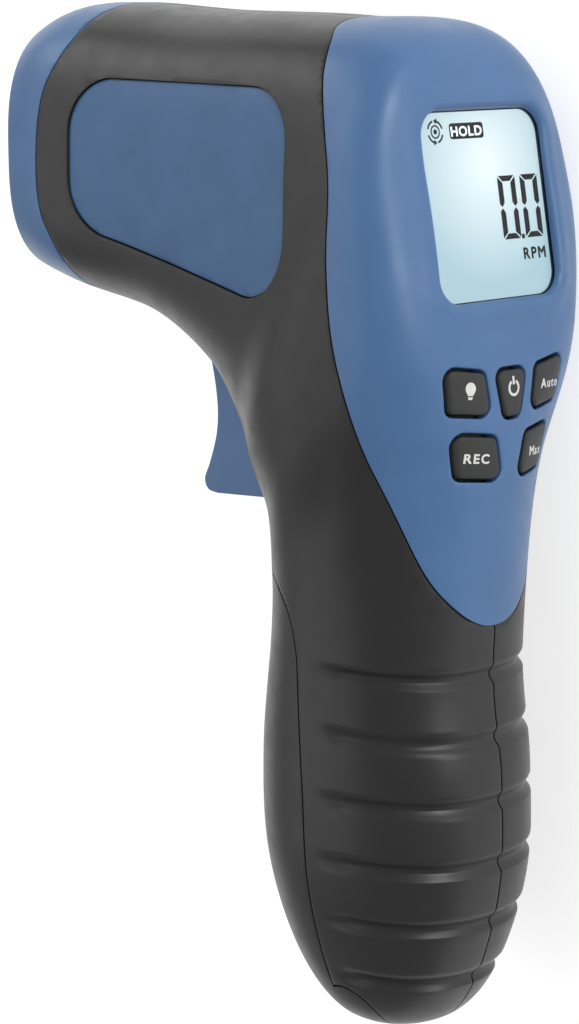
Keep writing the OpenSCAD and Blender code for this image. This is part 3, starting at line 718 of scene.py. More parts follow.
class Finishes:
    """All finishes of the part."""

    BLACK = Moulding("housing_black_satin", "housing_black", (0.016, 0.016, 0.0165), 0.05, 0.37, 0.25, 0.004)
    BLUE = Moulding("accent_blue_satin", "accent_blue", (0.074, 0.172, 0.365), 0.03, 0.36, 0.25, 0.0025)
    PANEL = Moulding("panel_blue_inlay", "panel_blue", (0.05, 0.135, 0.295), 0.06, 0.45, 0.35, 0.003)
    KEY = Moulding("key_black_rubber", "key_black", (0.042, 0.042, 0.043), 0.06, 0.5, 0.18, 0.004, 0.3)
    WHITE = Moulding("white_moulding", "white_plastic", (0.78, 0.78, 0.76), 0.03, 0.45)
    CHIP = Moulding("chip_moulding", "chip_black", (0.02, 0.02, 0.022), 0.1, 0.5)
    MAT = Moulding("keypad_silicone", "mat_grey", (0.25, 0.27, 0.28), 0.05, 0.6)
    DARK = Moulding("dark_moulding", "chip_black", (0.022, 0.022, 0.024), 0.08, 0.4)
    RIBBON = Moulding("ribbon_film", "ribbon", (0.58, 0.58, 0.55), 0.04, 0.4)
    RED = Moulding("red_insulation", "lead_red", (0.45, 0.03, 0.03), 0.05, 0.4)
    BARE_BLACK = Moulding("black_insulation", "lead_black", (0.02, 0.02, 0.02), 0.05, 0.4)
    WINDOW = Clear("window_clear", "window", (0.98, 0.99, 1.0), 1.22)
    LENS = Clear("lens_glass", "window", (0.86, 0.93, 1.0), 1.6)
    # The screen's glow and its bright spot are painted light.
    SCREEN = Screen("screen_painted_glow", "lcd")
    SEGMENT = Print("segment_dark", "", (0.003, 0.004, 0.007), 0.6, 0.0, 0.05)
    # Dark ink whose band paints the shade along the window opening's inner wall.
    SHADE_BAND = Print("shade_band_ink", "", (0.012, 0.03, 0.07), 0.5, 0.0, 0.2)
    # The HOLD letters shine with a painted glow.
    CLEAR_LETTER = Print("segment_letter_painted_glow", "", (0.8, 0.9, 0.95), 0.4, 0.6)
    LEGEND = Print("legend_white", "", (0.82, 0.82, 0.80), 0.55)
    STEEL = Metal("zinc_steel", "steel", (0.56, 0.57, 0.6), 0.3)
    BRASS = Metal("turned_brass", "brass", (0.6, 0.42, 0.14), 0.25)
    BOARD = Circuit("circuit_board", "board_green")
    JACKET = Jacket("battery_jacket", "battery_case")


@dataclass
class BodyForm:
    """The moulded outer form: smooth sections from the nose, round the head and down to the grip's foot."""

    around: int = 160
    steps: tuple = (8, 14, 20, 22, 18, 20, 18, 28)
    groove_step: float = 0.4
    waist: int = 8
    lip_rise: float = 0.55
    lip_crest: float = 1.4
    lip_width: float = 1.7
    lip_depth: float = 8.0
    groove_above: float = 2.0
    groove_below: float = 1.5
    fade_end: float = 92.0
    fade_span: float = 16.0
    top_limit: float = SIZE.head_top + 1.2
    least: float = 0.4
    foot_round: float = 7.6
    surface: BVHTree = field(default=None, repr=False)

    def __post_init__(self) -> None:
        """Write the sections down and find where heights of the grip lie along them."""
        s = SIZE
        w, g = s.grip_waist, s.grip_back
        self.stations = np.array([
            [s.nose_x, s.nose_foot, s.nose_x, s.nose_top, s.nose_half, 3, 2.8, 0.5],
            [s.nose_x + 10, s.nose_foot - 2.4, s.nose_x + 10, s.head_top + 1.2, s.nose_half + 1.6, 3, 2.8, 0.5],
            [s.nose_x + 28, s.nose_foot - 6.2, s.nose_x + 34, s.head_top + 0.1, s.nose_half + 1.3, 2.8, 2.8, 0.52],
            [-29.6, s.nose_foot - 14.6, -10.5, s.head_top - 0.6, s.head_half - 3.1, 2.6, 3.2, 0.55],
            [-23.5, s.nose_foot - 24.5, s.rear_reach - 11.4, s.head_top - 3.2, s.head_half - 1.9, 2.5, 3.1, 0.57],
            [-20.6, s.nose_foot - 31.5, s.rear_reach - 5.7, s.head_top - 23, s.head_half, 2.3, 5.1, 0.6],
            [-18.7, s.nose_foot - 38.3, s.rear_reach - 1.9, s.head_top - 43.1, s.head_half - 1.3, 2.1, 4.3, 0.58],
            [-19, s.nose_foot - 46.6, s.rear_reach - 0.3, s.head_top - 63.9, s.head_half - 4.7, 2.3, 2, 0.54],
            [-s.waist_back, w, s.waist_back, w, s.grip_half - 0.4, 2.2, 2.2, 0.5],
            [-g, w * 0.703, g, w * 0.703, s.grip_half, 2.2, 2.2, 0.5],
            [1 - g, w * 0.4375, g, w * 0.4375, s.grip_half - 0.3, 2.2, 2.2, 0.5],
            [6 - g, w * 0.203, g - 4, w * 0.203, s.grip_half - 3.7, 2.2, 2.2, 0.5],
            [13.1 - g, w * 0.0625, g - 9.9, w * 0.0625, s.grip_half - 8.3, 2.1, 2.1, 0.5],
            [21 - g, w * 0.00625, g - 18.8, w * 0.00625, s.grip_half - 16.3, 2, 2, 0.5],
        ])
        dense = np.linspace(self.waist, len(self.stations) - 1, 2000)
        self._grip = (along(self.stations, dense)[::-1, 3], dense[::-1])

    def place_at(self, height: np.ndarray) -> np.ndarray:
        """Find the place along the grip at a height above its foot."""
        return np.interp(height, *self._grip)

    def rings(self, places: np.ndarray, grow: np.ndarray, grooved: bool = False, around: int = 0) -> np.ndarray:
        """Lay points round the sections at some places.

        Args:
            places: Places along the body, counted in sections.
            grow: How far each section is grown outwards.
            grooved: Whether the grip's grooves are pressed in.
            around: Points round a section.

        Returns:
            Rings of points of the sketch.
        """
        around = around or self.around
        s = along(self.stations, places)
        s[:, 3] = np.minimum(s[:, 3], self.top_limit)
        s[:, 4] = np.minimum(s[:, 4], SIZE.head_half)
        angle = 2 * math.pi * np.arange(around) / around
        c, d = np.cos(angle)[None], np.sin(angle)[None]
        c, d = np.where(np.abs(c) < 1e-9, 0, c), np.where(np.abs(d) < 1e-9, 0, d)
        power = np.where(c > 0, s[:, 5:6], s[:, 6:7])
        size = (np.abs(c) ** power + np.abs(d) ** power) ** (-1 / power)
        c, d = c * size, d * size
        grow = np.broadcast_to(np.asarray(grow, float), (len(s),))[:, None]
        if grooved:
            depth = self.groove_at(s[:, 3])[:, None] * self.groove_fade(c, d, power)
            grow = grow - depth * (places > self.waist)[:, None]
        span = np.hypot(s[:, 2] - s[:, 0], s[:, 3] - s[:, 1])[:, None]
        reach = np.where(c > 0, s[:, 7:8], 1 - s[:, 7:8]) * span
        a = s[:, 7:8] * span - np.maximum(self.least, reach + grow) * c
        x = s[:, 0:1] + (s[:, 2:3] - s[:, 0:1]) / span * a
        y = s[:, 1:2] + (s[:, 3:4] - s[:, 1:2]) / span * a
        return np.stack([x, y, np.maximum(self.least, s[:, 4:5] + grow) * d], -1)

    def groove_at(self, height: np.ndarray) -> np.ndarray:
        """Depth of the grooves at a height: soft on the upper side, steeper on the lower lip."""
        tops = SIZE.groove_top - SIZE.groove_pitch * np.arange(SIZE.groove_count)
        off = height[:, None] - tops[None]
        t = np.where(off > 0, off / self.groove_above, -off / self.groove_below)
        return SIZE.groove_depth * np.max(np.where(t < 1, (1 - t**2) ** 2, 0), axis=1)

    def groove_fade(self, c: np.ndarray, d: np.ndarray, power: np.ndarray) -> np.ndarray:
        """Share of the grooves' depth round a section, which runs out on the sides."""
        turn = np.degrees(np.arctan2(np.abs(d) ** (power / 2), -np.sign(c) * np.abs(c) ** (power / 2)))
        return ease((self.fade_end - turn) / self.fade_span)

    def skin_rows(self) -> tuple[np.ndarray, np.ndarray]:
        """List the places of the skin's rings and how far each is set in for the nose's rounded rim."""
        rim = np.radians(np.linspace(0, 90, 9))
        places = [SIZE.nose_rim * (1 - np.cos(rim)) / 10]
        insets = [SIZE.nose_rim * (1 - np.sin(rim))]
        head = np.concatenate([k + np.arange(n) / n for k, n in enumerate(self.steps)])
        head = head[head > places[0][-1] + 0.03]
        foot = self.foot_round * (1 - np.sin(np.radians(np.linspace(0, 90, 20)))) + self.least
        grip = self.place_at(np.concatenate([np.arange(SIZE.grip_waist, 8.2, -self.groove_step), foot]))
        places += [head, grip]
        return np.concatenate(places), np.concatenate([insets[0], np.zeros(len(head) + len(grip))])

    def skin(self, name: str) -> Piece:
        """Make the whole outer form as one solid."""
        places, insets = self.skin_rows()
        return Bench.lofted(name, self.surround(self.rings(places, -insets, True)))

    def surround(self, rings: np.ndarray) -> np.ndarray:
        """Raise a soft lip round the window.

        Args:
            rings: Rings of points of the sketch.

        Returns:
            The rings with the lip on the display's side.
        """
        tilt = math.radians(SIZE.window_tilt)
        way = np.array([math.cos(tilt), math.sin(tilt), 0.0])
        off = rings - [SIZE.window_x, SIZE.window_y, 0.0]
        up = off @ np.array([-math.sin(tilt), math.cos(tilt), 0.0])
        corner = SIZE.window_corner
        x = np.abs(rings[..., 2]) - SIZE.window_width / 2 + corner
        y = np.abs(up) - SIZE.window_height / 2 + corner
        away = np.hypot(np.maximum(x, 0), np.maximum(y, 0)) + np.minimum(np.maximum(x, y), 0) - corner
        rise = self.lip_rise * np.exp(-(((away - self.lip_crest) / self.lip_width) ** 2))
        return rings + (rise * (off @ way > -self.lip_depth))[..., None] * way

    def hollow(self, name: str) -> Piece:
        """Make the space inside the walls as one solid."""
        places = np.concatenate([
            np.linspace(SIZE.wall / 10, self.waist, 90),
            self.place_at(np.linspace(SIZE.grip_waist - 1.5, SIZE.wall + 0.7, 50)),
        ])
        return Bench.lofted(name, self.rings(places, -SIZE.wall, False, 80))

    def layer(self, name: str, first: float, last: float, grow: float) -> Piece:
        """Make a stretch of the outer form between two places, grown outwards by a length."""
        return Bench.lofted(name, self.rings(np.linspace(first, last, 90), grow))

    def core(self, name: str) -> Piece:
        """Make the form down to the middle of its wall, as a coarser solid."""
        places = np.concatenate([np.linspace(0.12, self.waist, 70), self.place_at(np.linspace(62.5, 1.7, 40))])
        return Bench.lofted(name, self.rings(places, -SIZE.wall / 2, False, 64))

    def nose_hollow(self, name: str) -> Piece:
        """Make the hollow of the nose, reaching out of its face."""
        rings = self.rings(np.linspace(0, 2, 20), -SIZE.wall, False, 120)
        return Bench.lofted(name, np.concatenate([rings[:1] - [2.0, 0.0, 0.0], rings]))

    def learn_surface(self, skin: Piece) -> None:
        """Keep the skin's surface for pieces that sit on it."""
        self.surface = BVHTree.FromObject(skin, bpy.context.evaluated_depsgraph_get())

    def height_at(self, outline: np.ndarray) -> np.ndarray:
        """Find how far the skin stands out of the display's plane at rows of (lateral, up)."""
        return height_on(self.surface, outline, 0.0)


class Seams:
    """The seams between the moulded pieces, as curves of the side view."""

    TOP, REAR, FRONT = SIZE.head_top, SIZE.rear_reach, SIZE.nose_x
    BEZEL = [
        (-8, TOP + 6), (-3.2, TOP - 1), (0.1, TOP - 4.5), (2.1, TOP - 9.7),
        (4.6, TOP - 16.8), (7.1, TOP - 25.5), (REAR - 15.6, TOP - 36.5),
        (REAR - 14.8, TOP - 47.5), (REAR - 12.8, TOP - 58),
        (REAR - 10.6, TOP - 69.6), (REAR - 7.2, TOP - 81.8),
        (REAR - 4.2, TOP - 89.2), (REAR - 2.9, TOP - 92.8),
        (REAR - 1.75, TOP - 96),
    ]
    NOSE = [
        (FRONT + 17.5, TOP + 6), (FRONT + 14.6, TOP - 4.5),
        (FRONT + 11, TOP - 13), (FRONT + 9.6, TOP - 23),
        (FRONT + 9.8, TOP - 32), (FRONT + 11.6, TOP - 38),
        (FRONT + 15.5, SIZE.nose_foot - 8),
    ]
    DOOR = [
        (-31, 79), (-19, 77.6), (-12, 74.4), (-7, 70), (-4.8, 64), (-4, 56), (-2.5, 40), (-1.7, 24), (-0.6, 8),
    ]
    HINGE = (1.6, 4.4)
    HEEL_R = 5.0

    @staticmethod
    def moved(points: Points, shift: float) -> np.ndarray:
        """Sample a seam and move it sideways, to the left of its way for a positive shift."""
        line = smooth_line(points, 12)
        return line - normals_of(line, False) * shift

    @classmethod
    def bezel(cls, grow: float) -> Piece:
        """Make the zone of the rear bezel, grown by a length."""
        line = cls.moved(cls.BEZEL, -grow)
        corners = [(FAR, cls.TOP - 98), (FAR, cls.TOP + 6)]
        return Bench.prism("bezel_zone", np.vstack([line, corners]), -FAR, FAR)

    @classmethod
    def nose(cls, grow: float) -> Piece:
        """Make the zone of the nose cap, grown by a length."""
        line = cls.moved(cls.NOSE, grow)
        corners = [(-FAR, SIZE.nose_foot - 8), (-FAR, cls.TOP + 6)]
        return Bench.prism("nose_zone", np.vstack([line, corners]), -FAR, FAR)

    @classmethod
    def door(cls, grow: float) -> Piece:
        """Make the zone of the battery door with its round heel, grown by a length."""
        line = cls.moved(cls.DOOR, grow)
        x, y = cls.HINGE
        zone = Bench.prism("door_zone", np.vstack([line, [(x + grow, y), (x + grow, -FAR), (-FAR, -FAR)]]), -FAR, FAR)
        turn = np.radians(np.arange(0, 360, 3.75))
        heel = np.column_stack([x + (cls.HEEL_R + grow) * np.cos(turn), y + (cls.HEEL_R + grow) * np.sin(turn)])
        return Bench.shape(zone, Cut.JOIN, Bench.prism("heel", heel, -FAR, FAR))


@dataclass
class Shells:
    """The moulded shells: two housings, the rear bezel, the nose cap and the battery door."""

    form: BodyForm
    window_roll: float = 1.1
    pocket: float = 2.3
    pocket_corner: float = 2.15
    pocket_depth: float = 20.0
    key_gap: float = 0.35
    key_roll: float = 0.3
    edge: float = 0.18
    pin_r: float = 0.9
    pin_play: float = 0.12
    boss_r: float = 3.4
    pivot_boss_r: float = 3.5
    screw_r: float = 1.55
    well_r: float = 3.1
    lens_r: float = 10.3
    laser_r: float = 3.5
    laser_seat_r: float = 4.6
    laser_boss_r: float = 6.3
    screws: tuple = ((9.5, 12.2), (11.0, 82.0), (-33.0, SIZE.nose_foot - 3.0), (-16.0, SIZE.head_top - 12))

    def build(self) -> None:
        """Make all shells."""
        skin = self.form.skin("skin")
        self.form.learn_surface(skin)
        shell = Bench.shape(Bench.twin(skin, "shell"), Cut.AWAY, self.form.hollow("hollow"))
        self.bezel(Bench.twin(shell, "rear_bezel_shell"))
        self.door(Bench.twin(shell, "battery_door_shell"))
        for side, name in ((1, "left"), (-1, "right")):
            self.housing(Bench.twin(shell, f"{name}_housing_shell"), side, name)
        self.nose(Bench.twin(skin, "nose_cap_shell"))
        for spare in (skin, shell):
            bpy.data.objects.remove(spare)

    def finish(self, piece: Piece, body: Carrier, finish: Finish, node: str) -> None:
        """Round a shell's edges, shade it and set it in."""
        Bench.round_edges(piece, self.edge, 2, 40)
        Bench.smooth(piece)
        set_in(piece, body, finish, node)

    def bezel(self, piece: Piece) -> None:
        """Cut the rear bezel from the shell, with its window and key openings."""
        Bench.shape(piece, Cut.WITHIN, Seams.bezel(-SIZE.half_gap))
        window = rounded(box_corners(SIZE.window_width, SIZE.window_height), SIZE.window_corner, 12)
        Bench.shape(piece, Cut.AWAY, self.flare("window_cutter", window, self.window_roll))
        corners = box_corners(SIZE.window_width + self.pocket, SIZE.window_height + self.pocket)
        pocket = rounded(corners, self.pocket_corner)
        rings = [on_display(pocket, -depth) for depth in (self.pocket_depth, SIZE.window_recess)]
        Bench.shape(piece, Cut.AWAY, Bench.lofted("window_pocket", np.array(rings)))
        for key in KEYS:
            outline = key.outline()
            outline = outline + normals_of(outline, True) * self.key_gap / 2
            Bench.shape(piece, Cut.AWAY, self.flare("key_cutter", outline, self.key_roll))
        self.finish(piece, Carrier.HOUSING, Finishes.BLUE, "rear_bezel")

    def flare(self, name: str, outline: np.ndarray, roll: float) -> Piece:
        """Make a cutter that follows the skin and rolls its opening's edge over.

        Args:
            name: Name of the cutter.
            outline: The opening as rows of (lateral, up), counter-clockwise.
            roll: Radius of the rolled edge.

        Returns:
            The cutter.
        """
        rows = [(0.0, -12.0, False), (0.0, -roll - 1.5, True)]
        for turn in np.radians(np.linspace(0, 76, 8)):
            rows.append((roll * (1 - math.cos(turn)), roll * (math.sin(turn) - 1), True))
        rows.append((rows[-1][0] + 0.8, 0.4, True))
        rows.append((rows[-1][0], 15.0, False))
        rings = []
        for out, rise, follow in rows:
            line = outline + normals_of(outline, True) * out
            rings.append(on_display(line, self.form.height_at(line) + rise if follow else rise))
        return Bench.lofted(name, np.array(rings))

    def rooted(self, *ribs: Piece) -> list[Piece]:
        """Trim ribs and bosses to the middle of the shell's wall."""
        return [Bench.shape(rib, Cut.WITHIN, self.form.core("core")) for rib in ribs]

    def door(self, piece: Piece) -> None:
        """Cut the battery door from the shell and add its hinge ears."""
        x, y = Seams.HINGE
        Bench.shape(piece, Cut.WITHIN, Seams.door(-SIZE.half_gap))
        ears = [Bench.rod("ear", (x, y, side * 5.7), (x, y, side * 7.4), self.pin_r + 1.3) for side in (-1, 1)]
        Bench.shape(piece, Cut.JOIN, *self.rooted(*ears))
        Bench.shape(piece, Cut.AWAY, Bench.rod("pin_hole", (x, y, -7.5), (x, y, 7.5), self.pin_r + self.pin_play))
        self.finish(piece, Carrier.DOOR, Finishes.BLACK, "battery_door")

    def hinge_rib(self, side: int) -> list[Piece]:
        """Make the rib under the battery, whose lug takes the hinge pin."""
        x, y = Seams.HINGE
        low, high = sorted((side * 2.8, side * 5.2))
        return [
            Bench.rod("lug", (x, y, low), (x, y, high), self.pin_r + 0.6),
            Bench.block("web", (x - 1.4, y, low), (x + 1.4, 20.0, high)),
            Bench.block("shelf", (x, 11.0, low), (60.0, 20.0, high)),
            Bench.block("stop", (13.9, 24.0, 3.0 if side > 0 else -5.0), (60.0, 62.4, 5.0 if side > 0 else -3.0)),
        ]

    def housing(self, piece: Piece, side: int, name: str) -> None:
        """Cut one housing half from the shell, with its ribs, bosses, panel pocket and trigger slot.

        Args:
            piece: A copy of the whole shell.
            side: 1 for the left half and -1 for the right half.
            name: Name of the side.
        """
        bosses = [Bench.rod("boss", (x, y, -40), (x, y, 40), self.boss_r, 32) for x, y in self.screws]
        pivot = (*Trigger.PIVOT, side * 7.0), (*Trigger.PIVOT, side * 40.0)
        ribs = self.rooted(*bosses, *self.hinge_rib(side), Bench.rod("pivot_boss", *pivot, self.pivot_boss_r, 32))
        Bench.shape(piece, Cut.JOIN, *ribs)
        span = (SIZE.half_gap, FAR) if side > 0 else (-FAR, -SIZE.half_gap)
        half = np.array(box_corners(2 * FAR, 2 * FAR))
        Bench.shape(piece, Cut.WITHIN, Bench.prism("half", half, *span))
        Bench.shape(
            piece, Cut.AWAY, Seams.bezel(SIZE.half_gap), Seams.nose(SIZE.half_gap), Seams.door(SIZE.half_gap),
            Trigger().slot(), Panels(self.form).pocket(side),
            Bench.rod("pivot_hole", (*Trigger.PIVOT, -13.5), (*Trigger.PIVOT, 13.5), Trigger.bore_r),
            Bench.rod("hinge_hole", (*Seams.HINGE, -6), (*Seams.HINGE, 6), self.pin_r + self.pin_play),
        )
        for x, y in self.screws:
            Bench.shape(piece, Cut.AWAY, Bench.rod("screw_hole", (x, y, -9.5), (x, y, 9.5), self.screw_r))
            if side < 0:
                Bench.shape(piece, Cut.AWAY, Bench.rod("screw_well", (x, y, -40), (x, y, -6), self.well_r))
        self.finish(piece, Carrier.HOUSING, Finishes.BLACK, f"{name}_housing")

    def nose(self, piece: Piece) -> None:
        """Cut the nose cap from the skin, with its recessed plate, lens bore and laser port."""
        plate, back = SIZE.nose_x + 3.0, SIZE.nose_x + 5.0
        lens, laser = SIZE.nose_top - 15.2, SIZE.nose_foot + 7.2
        Bench.shape(piece, Cut.WITHIN, Seams.nose(-SIZE.half_gap))
        for low, high in ((SIZE.nose_x - 1, plate), (back, 0.0)):
            hollow = self.form.nose_hollow("nose_hollow")
            Bench.shape(hollow, Cut.WITHIN, Bench.block("span", (low, 0, -60), (high, 300, 60)))
            Bench.shape(piece, Cut.AWAY, hollow)
        boss = Bench.rod("laser_boss", (back - 0.1, laser, 0), (back + 6, laser, 0), self.laser_boss_r)
        Bench.shape(piece, Cut.JOIN, boss)
        Bench.shape(
            piece, Cut.AWAY, Bench.rod("lens_port", (plate - 1, lens, 0), (back + 1, lens, 0), self.lens_r, 96),
            Bench.rod("laser_port", (plate - 1, laser, 0), (back + 1, laser, 0), self.laser_r),
            Bench.rod("laser_seat", (back, laser, 0), (back + 20, laser, 0), self.laser_seat_r),
        )
        self.finish(piece, Carrier.HOUSING, Finishes.BLUE, "nose_cap")


@dataclass
class Panels:
    """The two inlays in the sides of the head."""

    form: BodyForm
    setback: float = 17.5
    length: float = 50.0
    height: float = 24.0
    drop: float = 10.4
    below_top: float = 10.4
    corner: float = 9.0
    sink: float = 0.4
    thick: float = 0.8
    gap: float = 0.22
    lift: float = 0.02
    edge: float = 0.2
    reach: tuple = (0.1, 5.0)

    def outline(self) -> np.ndarray:
        """Give a panel's outline in the side view."""
        front, top = SIZE.nose_x + self.setback, SIZE.head_top - self.below_top
        return rounded([
            (front, top), (front + self.length, top - 0.6), (front + self.length + 1, top - self.height - self.drop),
            (front - 0.5, top - self.height),
        ], self.corner, 16)

    def zone(self, side: int, grow: float) -> Piece:
        """Extrude the outline on one side of the head, grown by a length."""
        outline = self.outline()
        outline = outline + normals_of(outline, True) * grow
        span = (SIZE.nose_half / 2, 60.0) if side > 0 else (-60.0, -SIZE.nose_half / 2)
        return Bench.prism("panel_zone", outline, *span)

    def pocket(self, side: int) -> Piece:
        """Make the cutter of a panel's pocket."""
        return Bench.shape(
            self.zone(side, 0.0), Cut.AWAY, self.form.layer("under", *self.reach, -self.sink - self.thick)
        )

    def build(self) -> None:
        """Make both panels."""
        for side, name in ((1, "left"), (-1, "right")):
            panel = Bench.shape(
                self.zone(side, -self.gap), Cut.WITHIN, self.form.layer("face", *self.reach, -self.sink)
            )
            under = self.form.layer("under", *self.reach, -self.sink - self.thick + self.lift)
            Bench.shape(panel, Cut.AWAY, under)
            panel.name = panel.data.name = f"{name}_panel_inlay"
            Bench.round_edges(panel, self.edge, 2, 40)
            Bench.smooth(panel)
            set_in(panel, Carrier.HOUSING, Finishes.PANEL, f"{name}_side_panel")


@dataclass
class Trigger:
    """The trigger lever on its pin, with its return spring."""

    width: float = 13.0
    gap: float = 0.5
    edge: float = 1.3
    play: float = 0.9
    bore_r: float = 1.6
    spigot_r: float = 1.9
    spring_drop: float = 9.5
    spring_low: float = -14.65
    spring_seat: float = -13.0
    spring_high: float = -7.85
    coil: float = 2.4
    wire: float = 0.3
    turns: int = 5
    PIVOT = (-26.0, SIZE.nose_foot - 9.0)

    def outline(self) -> np.ndarray:
        """Give the lever's outline in the side view."""
        x, y = self.PIVOT
        front = smooth_line([
            (-35.6, y - 2), (-34.4, y - 7), (-33.9, y - 11.5), (-34.3, y - 15.5), (-35.8, y - 20), (-37, y - 22.8),
            (-36.2, y - 24.6), (-34, y - 25),
        ], 10)
        rest = [
            (-23, y - 24.3), (-15, y - 23.8), (-15, y - 6), (x + 5, y), (x + 4, y + 3), (x, y + 4.4), (x - 4, y + 3),
        ]
        return np.vstack([front, rest])

    def slot(self) -> Piece:
        """Make the cutter of the slot in the housings."""
        outline = self.outline()
        outline = outline + normals_of(outline, True) * self.play
        half = self.width / 2 + self.gap
        return Bench.prism("trigger_slot", outline, -half, half)

    def build(self) -> None:
        """Make the lever and the spring."""
        self.lever()
        self.spring()

    def lever(self) -> None:
        """Make the lever with its bore and the spigot that holds the spring."""
        x, y = self.PIVOT
        seat = y - self.spring_drop
        lever = Bench.prism("trigger_lever_blade", self.outline(), -self.width / 2, self.width / 2)
        Bench.round_edges(lever, self.edge, 5, 50)
        Bench.shape(lever, Cut.JOIN, Bench.rod("spigot", (-16, seat, 0), (self.spring_seat, seat, 0), self.spigot_r))
        Bench.shape(lever, Cut.AWAY, Bench.rod("bore", (x, y, -20), (x, y, 20), self.bore_r))
        Bench.smooth(lever, 35)
        set_in(lever, Carrier.TRIGGER, Finishes.BLUE, "trigger")

    def spring(self) -> None:
        """Wind the return spring from the lever's spigot towards the board; it is set on no body."""
        y = self.PIVOT[1] - self.spring_drop
        t = np.linspace(0.0, 1.0, 36 * self.turns + 1)
        turn = 2 * np.pi * self.turns * t
        out = np.stack([np.zeros_like(t), np.cos(turn), np.sin(turn)], axis=1)
        middle = np.stack([self.spring_low + (self.spring_high - self.spring_low) * t, y + 0 * t, 0 * t], axis=1)
        round_wire = np.linspace(0, 2 * np.pi, 12, endpoint=False)[None, :, None]
        section = np.cos(round_wire) * out[:, None] + np.sin(round_wire) * np.array([1.0, 0.0, 0.0])
        coil = Bench.lofted("return_spring_coil", (middle + self.coil * out)[:, None] + self.wire * section)
        Bench.smooth(coil, 60)
        coil.data.materials.clear()
        coil.data.materials.append(Finishes.STEEL.material())
        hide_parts("trigger_spring")
        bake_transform(coil)
        LOG.info("%s gives way between two bodies, %d faces", coil.name, len(coil.data.polygons))


@dataclass
class Battery:
    """The block battery in the grip with its two terminals."""

    middle_x: float = 0.5
    low: float = 20.0
    height: float = 46.4
    depth: float = 26.5
    width: float = 17.5
    terminal_off: float = 6.35
    terminal_rise: float = 2.6
    terminal_radii: tuple = (2.8, 3.6)
    terminal_edge: float = 0.4
    lift: float = 0.02
    edge: float = 1.7

    def build(self) -> None:
        """Make the case and the terminals."""
        half, top = (self.depth / 2, self.width / 2), self.low + self.height
        case = Bench.block(
            "battery_block", (self.middle_x - half[0], self.low, -half[1]), (self.middle_x + half[0], top, half[1])
        )
        Bench.round_edges(case, self.edge, 5, 40)
        Bench.smooth(case, 20)
        set_in(case, Carrier.HOUSING, Finishes.JACKET, "battery")
        terminals = []
        for side, radius in zip((-1, 1), self.terminal_radii):
            x = self.middle_x + side * self.terminal_off
            stud = Bench.rod("stud", (x, top + self.lift, 0), (x, top + self.terminal_rise, 0), radius)
            Bench.round_edges(stud, self.terminal_edge, 3, 40)
            terminals.append(stud)
        studs = Bench.joined("battery_terminals", terminals)
        Bench.smooth(studs, 35)
        set_in(studs, Carrier.HOUSING, Finishes.STEEL)


@dataclass(frozen=True)
class Key:
    """One key of the pad, with its outline as (lateral, up) in the display's axes."""

    name: str
    body: Carrier
    corners: tuple
    turn: int
    sign_at: tuple
    lean: float = 0.0
    word: str = ""
    corner: float = 1.6

    def outline(self) -> np.ndarray:
        """Give the rounded outline of the key's opening."""
        return rounded([(self.turn * x, y) for x, y in self.corners], self.corner, 8, 0.6)


KEY_TOP = -24.4
UPPER = ((13.95, KEY_TOP + 1.35), (5.75, KEY_TOP), (4.4, KEY_TOP - 7.1), (12.45, KEY_TOP - 5.9))
MIDDLE = ((3.75, KEY_TOP), (-3.75, KEY_TOP), (-1.95, KEY_TOP - 7.6), (1.95, KEY_TOP - 7.6))
LOWER = ((11.45, KEY_TOP - 8.5), (3.25, KEY_TOP - 9.8), (1.6, KEY_TOP - 16.9), (9.65, KEY_TOP - 15.7))
KEYS = (
    Key("lamp", Carrier.LAMP, UPPER, 1, (9.15, -26.7), -0.12),
    Key("power", Carrier.POWER, MIDDLE, 1, (0.0, -27.5)),
    Key("auto", Carrier.AUTO, UPPER, -1, (-9.4, -27.5), 0.0, "Auto"),
    Key("record", Carrier.RECORD, LOWER, 1, (6.9, -37.2), -0.14, "REC"),
    Key("maximum", Carrier.MAXIMUM, LOWER, -1, (-6.5, -37.4), 0.0, "Max"),
)


